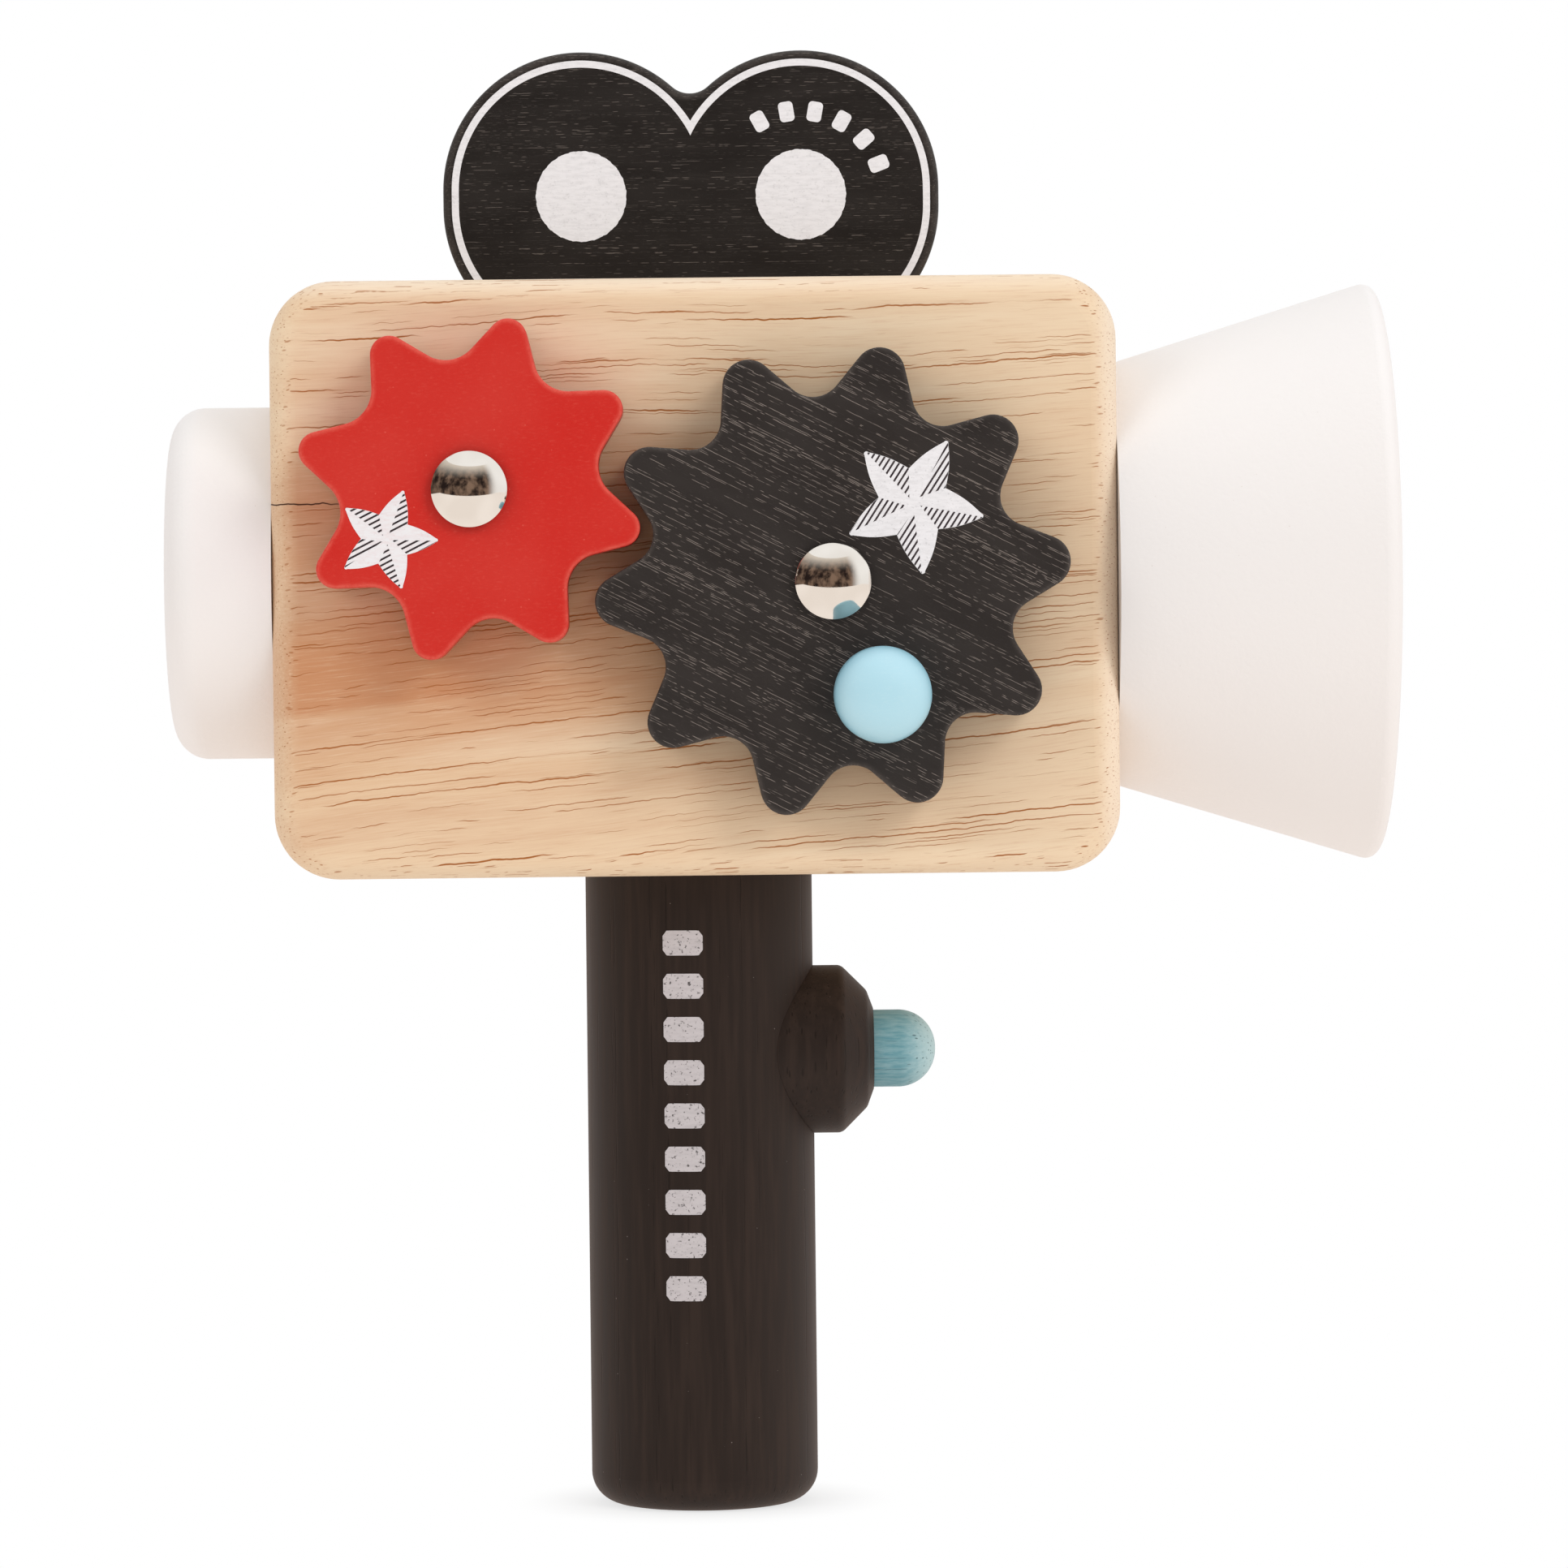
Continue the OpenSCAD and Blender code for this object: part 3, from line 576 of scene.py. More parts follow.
def wood_finish(colours):
    """Pale sanded wood with sloping grain, brown and pale zones with painted highlights along the edges,
    vessel lines, and dots on the ends.
    """
    finish = Finish("rubberwood", colours.wood_tan, Specular_IOR_Level=0.35)
    tree = finish.tree
    low, high = (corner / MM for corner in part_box("body_block"))
    x, y, z = parts(tree, finish.place)
    slope = smooth(tree, z, *(low.z + height for height in GRAIN_HEIGHTS), *GRAIN_SLOPES)
    level = calc(tree, "SUBTRACT", z, product(tree, x, slope))
    sway = calc(tree, "SUBTRACT", finish.noise((0.012, 0.03, 0.03), 1.0), 0.5)
    level = calc(tree, "MULTIPLY_ADD", sway, GRAIN_SWAY, level)
    waved = vector(tree, x, y, level)
    bands = noise(tree, waved, (0.008, 0.05, 0.11), 6.0, 0.66)
    finish.fade(colours.wood_pale, bands, 0.46, 0.7, 0.75)
    finish.fade(colours.wood_brown, bands, 0.48, 0.28, 0.45)
    ways = {"x": (x, low.x), "z": (z, low.z), "level": (level, low.z)}
    # The zones include the painted highlights along the block's rounded edges
    for colour, share, *limits in WOOD_ZONES:
        for way, start, full in limits:
            value, corner = ways[way]
            share = product(tree, share, smooth(tree, value, corner + start, corner + full))
        finish.lay(getattr(colours, colour), share)
    fibres = noise(tree, waved, (0.12, 3.0, 4.0), 4.0, 0.7)
    finish.fade(colours.wood_pale, fibres, 0.5, 0.75, 0.4)
    finish.fade(colours.wood_brown, fibres, 0.5, 0.25, 0.35)
    ripple = finish.noise((0.3, 0.1, 0.25), 2.0, 0.6)
    rippled = vector(tree, x, y, calc(tree, "MULTIPLY_ADD", ripple, GRAIN_RIPPLE, level))
    _, coarse = finish.pores(
        (0.0, 0.9, 0.45, 1.0), Vector=rippled, Cell=1.2, Radius=0.18, Wander=1.6, Run=38.0
    )
    _, fine = finish.pores(
        (0.0, 1.0, 0.3, 0.85), Vector=rippled, Cell=0.62, Radius=0.1, Wander=1.2, Run=20.0
    )
    ends = (high.x - inset for inset in VESSEL_FADE)
    coarse = product(tree, coarse, smooth(tree, calc(tree, "ABSOLUTE", x), *ends, 1.0, 0.4))
    vessels = calc(tree, "MAXIMUM", coarse, fine)
    finish.lay(colours.wood_pore, vessels)
    above = calc(tree, "SUBTRACT", z, low.z + CRACK_HEIGHT)
    off_line = calc(tree, "ABSOLUTE", calc(tree, "ADD", above, finish.noise((0.4, 0.1, 0.1))))
    run = smooth(tree, x, *(low.x + inset for inset in CRACK_FADE))
    finish.lay(colours.wood_crack, product(tree, smooth(tree, off_line, 0.06, 0.15, 1.0, 0.0), run))
    finish.rough(fibres, 0.45, 0.6)
    finish.bump(calc(tree, "SUBTRACT", product(tree, fibres, 0.2), vessels), 0.05, 0.5)
    return finish.done()


def birch_finish(colours):
    """Bare turned wood."""
    finish = Finish("birch", colours.wood_tan, 90.0, Specular_IOR_Level=0.3)
    fibres = finish.noise((0.05, 0.9, 0.9), 3.0, 0.6)
    finish.fade(colours.birch, fibres, 0.3, 0.7)
    finish.rough(fibres, 0.55, 0.7)
    finish.bump(fibres, 0.04, 0.5)
    return finish.done()


def black_finish(name, black, colours, sizes, grain_angle, show):
    """Black stain through which fine fibres of the wood show."""
    finish = Finish(name, black, grain_angle, Specular_IOR_Level=0.3)
    tree, fibre = finish.tree, colours.black_fibre
    mask, shown = finish.pores((0.35, 1.0, 0.04, show), Cell=0.19, Radius=0.056, Wander=0.45, Run=2.0)
    cloud = finish.noise((0.08, 0.25, 0.25), 3.0)
    finish.fade(fibre, cloud, 0.3, 0.7, 0.02)
    finish.lay(fibre, product(tree, shown, smooth(tree, cloud, 0.3, 0.65, 0.7)))
    # Lighter edges: rubbed stain and a painted highlight
    finish.wear_and_highlight(fibre, 0.2 * sizes.edge_wear)
    finish.rough(cloud, 0.42, 0.6)
    finish.bump(mask, 0.03, 0.5)
    return finish.done()


def brown_finish(colours):
    """Brown-black stain on turned wood, rubbed lighter in places, with dark pores up the grain."""
    finish = Finish(
        "brown_stain", colours.brown, 90.0,
        Specular_IOR_Level=0.33, Specular_Tint=opaque(colours.brown_gloss),
        Sheen_Weight=0.12, Sheen_Roughness=0.4, Sheen_Tint=opaque(colours.brown_sheen),
    )
    tree = finish.tree
    grain = finish.noise((0.05, 0.8, 0.8), 3.0, 0.6)
    mask, dark = finish.pores((0.0, 1.0, 0.3, 0.8), Cell=1.0, Radius=0.2, Wander=1.0, Run=10.0)
    specks = finish.group(coat_group, Peel=0.5, Speck=0.09)["Specks"]
    finish.fade(colours.brown_worn, grain, 0.35, 0.75, 0.16)
    finish.lay(colours.brown_pore, dark)
    finish.lay(colours.brown_speck, product(tree, specks, 0.35))
    finish.rough(grain, 0.55, 0.7)
    finish.bump(calc(tree, "SUBTRACT", product(tree, grain, 0.3), mask), 0.06, 0.6)
    return finish.done()


def coat_finish(
    name, base, worn, specks, sizes, peel, speck=0.1, rough=(0.3, 0.42), shine=0.5, relief=0.03, shade_rim=None,
):
    """Satin paint with a fine orange peel and a few specks, lighter along edges from rubbed paint and a
    painted highlight, and darker at a rim by a painted shade where one is given.
    """
    finish = Finish(name, base, Specular_IOR_Level=shine)
    tree = finish.tree
    coat = finish.group(coat_group, Peel=peel, Speck=speck)
    finish.fade(worn, coat["Cloud"], 0.25, 0.75, 0.12)
    finish.fade(worn, finish.noise((1.2, 4.0, 4.0), 3.0, 0.7), 0.5, 0.8, 0.22)
    finish.lay(specks, product(tree, coat["Specks"], 0.4))
    # Lighter edges: rubbed paint and a painted highlight
    finish.wear_and_highlight(worn, sizes.edge_wear)
    # Painted shade: a deeper tone over the side of a domed piece, where less light falls
    if shade_rim:
        shade_tone, start, end = shade_rim
        finish.fade(shade_tone, parts(tree, finish.place)[1], start, end, 0.5)
    finish.rough(coat["Height"], *rough)
    finish.bump(coat["Height"], relief, 0.45)
    return finish.done()


def button_finish(colours):
    """Thin paint on a dowel: short dark pores along it, and a rubbed pale end."""
    finish = Finish("teal_paint", colours.teal, Specular_IOR_Level=0.35)
    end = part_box("push_button")[1].x / MM
    mask, flecks = finish.pores((0.3, 1.0, 0.0, 0.75), Cell=0.6, Radius=0.14, Wander=0.9, Run=4.0)
    grain = finish.noise((0.3, 2.0, 2.0), 3.0, 0.65)
    finish.fade(colours.teal_worn, grain, 0.3, 0.75, 0.3)
    finish.fade(colours.teal_worn, parts(finish.tree, finish.place)[0], end - BUTTON_RUBBED, end, 0.7)
    finish.lay(colours.teal_pore, flecks)
    finish.rough(grain, 0.45, 0.65)
    finish.bump(mask, 0.03, 0.5)
    return finish.done()


def print_finish(name, ink, beneath, worn):
    """Printed ink, broken by the grain it lies on."""
    finish = Finish(name, ink, Specular_IOR_Level=0.35)
    fibres = finish.noise((0.5, 2.2, 2.2), 3.0, 0.6)
    grit = finish.noise((2.2, 4.5, 2.6), 2.0, 0.6)
    finish.fade(beneath, fibres, 0.62, 0.3, 0.1)
    finish.fade(beneath, grit, 0.42, 0.3, worn)
    finish.rough(fibres, 0.5, 0.65)
    finish.bump(grit, 0.02, 0.5)
    return finish.done()


def chrome_finish(colours):
    """Polished plating with faint handling marks."""
    finish = Finish("chrome", colours.chrome, Metallic=1.0)
    marks = finish.noise((0.25, 0.25, 0.25), 1.0)
    finish.fade(colours.chrome_dull, marks, 0.3, 0.7)
    finish.rough(marks, 0.04, 0.07)
    return finish.done()


def wire_finish(colours):
    """Drawn wire, slightly dull."""
    finish = Finish("spring_steel", colours.steel, Metallic=1.0)
    drawn = finish.noise((4.0, 4.0, 4.0))
    finish.lay(colours.steel_dark, drawn)
    finish.rough(drawn, 0.25, 0.45)
    return finish.done()


def fibre_finish(colours):
    """Pressed dark fibre."""
    finish = Finish("dark_fibre", colours.fibre, Specular_IOR_Level=0.3)
    felt = finish.noise((2.0, 2.0, 2.0), 3.0, 0.65)
    finish.fade(colours.fibre_pale, felt, 0.3, 0.7)
    finish.rough(felt, 0.7, 0.9)
    finish.bump(felt, 0.05, 0.6)
    return finish.done()


def lens_finish(colours):
    """Clear moulded lens with the faintest smears."""
    finish = Finish("clear_acrylic", colours.acrylic, Transmission_Weight=1.0, IOR=1.49)
    smears = finish.noise((0.15, 0.15, 0.15))
    finish.lay(colours.acrylic_smear, smears)
    finish.rough(smears, 0.01, 0.05)
    return finish.done()


# Mesh building


def placed(name, data):
    """New object in the scene."""
    made = bpy.data.objects.new(name, data)
    bpy.context.scene.collection.objects.link(made)
    return made


def shade_and_face(mesh, shaded):
    """Merges doubles, turns all faces outwards and shades them smooth or flat."""
    mesh.polygons.foreach_set("use_smooth", [shaded] * len(mesh.polygons))
    work = bmesh.new()
    work.from_mesh(mesh)
    bmesh.ops.remove_doubles(work, verts=work.verts, dist=MERGE_REACH)
    bmesh.ops.recalc_face_normals(work, faces=work.faces)
    work.to_mesh(mesh)
    work.free()
    mesh.update()


def piece(name, verts, faces, material, edges=None, shaded=True):
    """New object at the origin from points in metres, with the edge value of each point where it has one."""
    mesh = bpy.data.meshes.new(name)
    mesh.from_pydata(verts, [], faces)
    if edges is not None:
        mesh.attributes.new("edge", "FLOAT", "POINT").data.foreach_set("value", edges)
    mesh.materials.append(material)
    shade_and_face(mesh, shaded)
    return placed(name, mesh)


def join_frame(made, body, slot, *nodes):
    """Rides a piece on its body and hides the nodes it stands for; its slot is not used."""
    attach(made, body)
    if nodes:
        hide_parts(*nodes)


def dress(material, *nodes):
    """Gives a material to nodes that stay as they are."""
    for node in nodes:
        for place in frame["nodes"][node].material_slots:
            place.material = material


def arc(centre, radius, start, end, steps):
    """Points of an arc with the directions out of its centre; angles in degrees."""
    made = []
    for step in range(steps + 1):
        angle = math.radians(start + (end - start) * step / steps)
        way = (math.cos(angle), math.sin(angle))
        made.append(((centre[0] + radius * way[0], centre[1] + radius * way[1]), way))
    return made


def arc_points(*bow):
    return [point for point, _ in arc(*bow)]


def mirrored(half):
    """Right half of an outline, followed by the left one."""
    return half + [(-x, z) for x, z in reversed(half[:-1])]


def turned(points, heading):
    cos, sin = math.cos(heading), math.sin(heading)
    return [(a * cos - b * sin, a * sin + b * cos) for a, b in points]


def rounded_rectangle(width, height, corner):
    """Outline round the origin, in millimetres."""
    points = []
    for quarter, (sx, sz) in enumerate([(1, 1), (-1, 1), (-1, -1), (1, -1)]):
        centre = (sx * (width / 2 - corner), sz * (height / 2 - corner))
        points += arc_points(centre, corner, 90 * quarter, 90 * quarter + 90, MARK_CORNER_STEPS)
    return points


def prism(outlines, back, front):
    """Points and faces of flat shapes between two depths: outlines are lists of (x, z) in metres."""
    verts, faces = [], []
    for outline in outlines:
        first, count = len(verts), len(outline)
        verts += [(x, back, z) for x, z in outline] + [(x, front, z) for x, z in outline]
        faces.append(tuple(range(first, first + count)))
        faces.append(tuple(range(first + 2 * count - 1, first + count - 1, -1)))
        for i in range(count):
            j = (i + 1) % count
            faces.append((first + i, first + j, first + count + j, first + count + i))
    return verts, faces


def print_piece(name, outlines, ground, ink, sizes):
    """Printed shapes that sink a little into their ground and stand a little proud of it."""
    verts, faces = prism(outlines, ground + PRINT_SINK * MM, ground - sizes.print_height)
    return piece(name, verts, faces, ink, shaded=False)


def edge_section(edge, thickness):
    """Rounded section from back to front: (inset, depth, edge value) of each ring, in millimetres; the edge
    value places rubbed paint and a painted highlight.
    """
    inner, outer = FACE_RINGS
    section = [(FLAT_INSET, 0.0, 0.0), (edge + inner, 0.0, 0.0), (edge + outer, 0.0, 0.5)]
    for step in range(EDGE_STEPS + 1):
        angle = math.pi / 2 * step / EDGE_STEPS
        section.append((edge * (1 - math.sin(angle)), edge * (1 - math.cos(angle)), 1.0))
    section.append((0.0, edge + WALL_RING, 0.0))
    front = [(inset, thickness - depth, worn) for inset, depth, worn in reversed(section)]
    return section + [(0.0, thickness / 2, 0.0)] + front


# Geometry Nodes trees


def end_tree(tree, shape, given, out):
    """Makes all copies real, gives them their material and leads them out."""
    real = result(tree, "GeometryNodeRealizeInstances", Geometry=shape)
    coated = result(tree, "GeometryNodeSetMaterial", Geometry=real, Material=given["Material"])
    feed(tree, out["Geometry"], coated)


@node_group(
    GEOMETRY_TREE, "Copies",
    {
        "Geometry": GEOMETRY, "Count": INTEGER, "Step": VECTOR, "First Turn": FLOAT, "Turn Step": FLOAT,
        "Centre": VECTOR, "Weld": FLOAT, "Material": MATERIAL,
    },
    {"Geometry": GEOMETRY},
)
def copies_tree(tree, given, out):
    """Repeats a shape: each copy is turned about Y and moved on by one step."""
    row = result(tree, "GeometryNodeMeshLine", Count=given["Count"], Offset=given["Step"])
    index = result(tree, "GeometryNodeInputIndex")
    turn = calc(tree, "MULTIPLY_ADD", index, given["Turn Step"], given["First Turn"])
    angle = vector(tree, 0.0, product(tree, turn, -1.0), 0.0)
    spread = result(
        tree, "GeometryNodeInstanceOnPoints", Points=row, Instance=given["Geometry"],
        Rotation=result(tree, "FunctionNodeEulerToRotation", Euler=angle),
    )
    moved = result(tree, "GeometryNodeTransform", Geometry=spread, Translation=given["Centre"])
    real = result(tree, "GeometryNodeRealizeInstances", Geometry=moved)
    welded = result(tree, "GeometryNodeMergeByDistance", Geometry=real, Distance=given["Weld"])
    end_tree(tree, welded, given, out)


@node_group(
    GEOMETRY_TREE, "Hatching",
    dict(
        Geometry=GEOMETRY, Bars=INTEGER, Pitch=FLOAT, Width=FLOAT, Reach=FLOAT, Depth=FLOAT, Turn=FLOAT,
        Centre=VECTOR, Material=MATERIAL,
    ),
    dict(Geometry=GEOMETRY),
)
def hatch_tree(tree, given, out):
    """Parallel bars cut to the shapes that come in."""
    size = vector(tree, given["Reach"], given["Depth"], given["Width"])
    half = product(tree, calc(tree, "SUBTRACT", given["Bars"], 1.0), -0.5)
    row = result(
        tree, "GeometryNodeMeshLine", Count=given["Bars"], Offset=vector(tree, 0.0, 0.0, given["Pitch"]),
        Start_Location=vector(tree, 0.0, 0.0, product(tree, half, given["Pitch"])),
    )
    bar = result(tree, "GeometryNodeMeshCube", Size=size)
    spread = result(tree, "GeometryNodeInstanceOnPoints", Points=row, Instance=bar)
    bars = result(
        tree, "GeometryNodeTransform", Translation=given["Centre"],
        Geometry=result(tree, "GeometryNodeRealizeInstances", Geometry=spread),
        Rotation=vector(tree, 0.0, product(tree, given["Turn"], -1.0), 0.0),
    )
    cut = add(tree, "GeometryNodeMeshBoolean", {"operation": "INTERSECT", "solver": "EXACT"})
    for shape in (bars, given["Geometry"]):
        tree.links.new(shape, cut.inputs["Mesh 2"])
    end_tree(tree, cut.outputs[0], given, out)


@node_group(
    GEOMETRY_TREE, "Coil",
    dict(
        Geometry=GEOMETRY, Turns=FLOAT, Radius=FLOAT, Wire=FLOAT, Length=FLOAT, Start=VECTOR,
        Material=MATERIAL,
    ),
    dict(Geometry=GEOMETRY),
)
def coil_tree(tree, given, out):
    """Round wire wound into a coil that rises along X."""
    spiral = result(
        tree, "GeometryNodeCurveSpiral", Resolution=SPRING_TURN_STEPS, Rotations=given["Turns"],
        Height=given["Length"], Start_Radius=given["Radius"], End_Radius=given["Radius"],
    )
    wire = result(
        tree, "GeometryNodeCurvePrimitiveCircle", Resolution=SPRING_WIRE_STEPS, Radius=given["Wire"]
    )
    swept = result(tree, "GeometryNodeCurveToMesh", Curve=spiral, Profile_Curve=wire, Fill_Caps=True)
    laid = result(
        tree, "GeometryNodeTransform", Geometry=swept, Translation=given["Start"],
        Rotation=(0.0, math.pi / 2, 0.0),
    )
    end_tree(tree, laid, given, out)


def grown(name, start, tree, shaded=True, **inputs):
    """Plain piece from a start shape and a geometry tree; the start shape is used up."""
    modifier = start.modifiers.new(tree.name, "NODES")
    modifier.node_group = tree
    for socket in tree.interface.items_tree:
        key = socket.name.replace(" ", "_")
        if socket.in_out == "INPUT" and key in inputs:
            modifier[socket.identifier] = inputs[key]
    bpy.context.view_layer.update()
    solved = start.evaluated_get(bpy.context.evaluated_depsgraph_get())
    mesh = bpy.data.meshes.new_from_object(solved)
    mesh.name = name
    shade_and_face(mesh, shaded)
    start.modifiers.clear()
    bpy.data.objects.remove(start)
    return placed(name, mesh)


# Pieces


def pin_place(gear):
    """Centre of a gear, on its joint, in metres."""
    for joint in frame["joints"]:
        if joint["name"] == GEARS[gear]["joint"]:
            return Vector(joint["pos_m"])
    raise RuntimeError("no joint for " + gear)


def tooth_outline(shape):
    """One tooth from valley to valley, along +X: (point, outward direction), in millimetres."""
    half = 180 / shape["teeth"]
    pitch_r = GEAR_MODULE * shape["teeth"] / 2
    tip_r = pitch_r + shape["addendum"] * GEAR_MODULE
    root_r = pitch_r - shape["dedendum"] * GEAR_MODULE
    tip_round = shape["tip_round"] * GEAR_MODULE
    valley_round = shape["valley_round"] * GEAR_MODULE
    tip = (tip_r - tip_round, 0.0)
    valley = turned([(root_r + valley_round, 0.0)], math.radians(half))[0]
    gap = math.hypot(valley[0] - tip[0], valley[1] - tip[1])
    flank = math.degrees(
        math.atan2(valley[1] - tip[1], valley[0] - tip[0]) - math.acos((tip_round + valley_round) / gap)
    )
    upper = arc(tip, tip_round, 0.0, flank, TIP_STEPS)
    bow = arc(valley, valley_round, flank + 180, half + 180, VALLEY_STEPS)
    hollow = [(point, (-out[0], -out[1])) for point, out in bow]
    (ax, ay), out = upper[-1]
    (bx, by), _ = hollow[0]
    straight = [
        ((ax + (bx - ax) * k / FLANK_STEPS, ay + (by - ay) * k / FLANK_STEPS), out)
        for k in range(1, FLANK_STEPS)
    ]
    side = upper + straight + hollow
    return [((x, -y), (u, -v)) for (x, y), (u, v) in reversed(side[1:])] + side


def make_gear(name, material, sizes):
    """Gear from one tooth, whose section is rounded at both faces, repeated round the pin."""
    shape = GEARS[name]
    low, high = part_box(name)
    thickness = (high.y - low.y) / MM
    section = edge_section(sizes.gear_edge / MM, thickness)
    outline = tooth_outline(shape)
    verts, edges, rows = [], [], len(section) + 4
    for (x, z), (u, v) in outline:
        bore_x, bore_z = (GEAR_BORE_R * way / math.hypot(x, z) for way in (x, z))
        near_x, near_z = BORE_RING * bore_x, BORE_RING * bore_z
        ring = [(bore_x, 0.0, bore_z, 0.0), (near_x, 0.0, near_z, 0.0)]
        ring += [(x - inset * u, -depth, z - inset * v, worn) for inset, depth, worn in section]
        ring += [(near_x, -thickness, near_z, 0.0), (bore_x, -thickness, bore_z, 0.0)]
        verts += [(a * MM, b * MM, c * MM) for a, b, c, _ in ring]
        edges += [worn for _, _, _, worn in ring]
    faces = [
        (i * rows + j, i * rows + (j + 1) % rows, (i + 1) * rows + (j + 1) % rows, (i + 1) * rows + j)
        for i in range(len(outline) - 1) for j in range(rows)
    ]
    tooth = piece(name + "_tooth", verts, faces, material, edges)
    centre = pin_place(name)
    made = grown(
        name + "_turned", tooth, copies_tree(), Count=shape["teeth"],
        First_Turn=math.radians(shape["tooth_angle"]), Turn_Step=TURN / shape["teeth"],
        Centre=(centre.x, high.y, centre.z), Weld=TOOTH_WELD, Material=material,
    )
    join_frame(made, shape["body"], shape["slot"], name)


def dome(across, deep, widest):
    """Profile of a dome from beside its tip to its widest angle, on an ellipse with these half axes."""
    angles = [widest * step / DOME_STEPS for step in range(1, DOME_STEPS + 1)]
    return [(across * math.sin(angle), deep * (1 - math.cos(angle))) for angle in angles]


def turned_piece(name, centre, front, profile, material):
    """Round piece about a line along Y: its profile has (radius, depth), tip first, in millimetres."""
    verts, faces = [(centre.x, front, centre.z)], []
    for radius, depth in profile:
        for k in range(ROUND_STEPS):
            x, z = turned([(radius * MM, 0.0)], TURN * k / ROUND_STEPS)[0]
            verts.append((centre.x + x, front + depth * MM, centre.z + z))
    for k in range(ROUND_STEPS):
        after = (k + 1) % ROUND_STEPS
        faces.append((0, 1 + k, 1 + after))
        for row in range(len(profile) - 1):
            first = 1 + row * ROUND_STEPS
            second = first + ROUND_STEPS
            faces.append((first + k, first + after, second + after, second + k))
    faces.append(tuple(range(len(verts) - ROUND_STEPS, len(verts))))
    made = piece(name, verts, faces, material)
    made.data.set_sharp_from_angle(angle=math.radians(SHARP_ANGLE))
    return made


def make_pin(gear, material):
    """Pin with a domed head in front and its shank behind it."""
    low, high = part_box(gear + "_pin")
    dome_r = (PIN_HEAD_R ** 2 + PIN_DOME ** 2) / (2 * PIN_DOME)
    profile = dome(dome_r, dome_r, math.asin(PIN_HEAD_R / dome_r))
    profile += [(PIN_HEAD_R, PIN_HEAD), (PIN_SHANK_R, PIN_HEAD), (PIN_SHANK_R, (high.y - low.y) / MM)]
    made = turned_piece(gear + "_pin_turned", pin_place(gear), low.y, profile, material)
    join_frame(made, "camera", "chrome", gear + "_pin")


def make_knob(material):
    """Crank knob with a full dome, and the stem that sits in the gear."""
    low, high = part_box("crank_knob")
    radius = (high.x - low.x) / 2 / MM
    profile = dome(radius, KNOB_DOME, math.pi / 2)
    profile += [(radius, KNOB_HEIGHT), (KNOB_STEM_R, KNOB_HEIGHT), (KNOB_STEM_R, (high.y - low.y) / MM)]
    made = turned_piece("crank_knob_turned", (low + high) / 2, low.y, profile, material)
    join_frame(made, "crank", "blue_paint", "crank_knob")


def star_arm(radius):
    """One side of a star's arm, from the notch to the point: (along, across) its middle line."""
    notch, tip, bulge = (share * radius for share in (STAR_NOTCH, STAR_TIP, STAR_BULGE))
    half = TURN / (2 * STAR_ARMS)
    start = (notch * math.cos(half), notch * math.sin(half))
    end = (radius - tip, tip)
    slant = math.atan2(start[1] - end[1], end[0] - start[0])
    side = []
    for step in range(STAR_SIDE_STEPS + 1):
        t = step / STAR_SIDE_STEPS
        out = bulge * math.sin(math.pi * t)
        side.append((
            start[0] + t * (end[0] - start[0]) + out * math.sin(slant),
            start[1] + t * (end[1] - start[1]) + out * math.cos(slant),
        ))
    cap = [(radius - tip + tip * math.sin(a), tip * math.cos(a)) for a in STAR_TIP_ANGLES]
    return side + cap + [(radius, 0.0)]


def make_star(gear, radius, ink, dark, sizes):
    """Plain five-point star on a gear, with the clockwise half of each arm shaded by parallel lines."""
    shape = GEARS[gear]
    name = gear + "_star"
    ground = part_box(gear)[0].y
    centre = pin_place(gear)
    cx, cz = centre.x + shape["star"][0] * MM, centre.z + shape["star"][1] * MM
    headings = [math.radians(shape["star_turn"]) + k * TURN / STAR_ARMS for k in range(STAR_ARMS)]

    def on_arms(points):
        return [[(cx + x, cz + z) for x, z in turned(points, heading)] for heading in headings]

    side = star_arm(radius)
    arms = on_arms([(a, -b) for a, b in side] + side[-2:0:-1])
    star = print_piece(name, [sum(arms, [])], ground, ink, sizes)
    join_frame(star, shape["body"], shape["slot"])
    middle = HATCH_MIDDLE * radius
    lower = [(a, middle / 3 - b) for a, b in side if b > 2 * middle]
    halves = on_arms([(HATCH_START * radius, -middle)] + lower + [(HATCH_END * radius, -middle)])
    proud = ground - sizes.print_height
    verts, faces = prism(halves, proud + HATCH_SINK * MM, proud - HATCH_PROUD * MM)
    start = piece(name + "_halves", verts, faces, dark, shaded=False)
    reach = HATCH_REACH * radius
    lines = grown(
        name + "_hatching", start, hatch_tree(), False, Bars=int(reach / sizes.hatch_pitch),
        Pitch=sizes.hatch_pitch, Width=sizes.hatch_width, Reach=reach, Depth=HATCH_DEPTH * MM,
        Turn=math.radians(shape["hatch_turn"]), Centre=(cx, proud, cz), Material=dark,
    )
    join_frame(lines, shape["body"], shape["slot"])


def reel_lobe(radius, lift, end, steps):
    """Right side of the reels, from a lift over the block up to an angle: (x, z) in millimetres."""
    foot = math.degrees(math.asin((REEL_STRAIGHT - REEL_RISE + lift) / radius))
    lower = arc_points((REEL_HALF_SPACING, -REEL_STRAIGHT), radius, foot, 0.0, REEL_FOOT_STEPS)
    return lower + arc_points((REEL_HALF_SPACING, 0.0), radius, 0.0, end, steps)


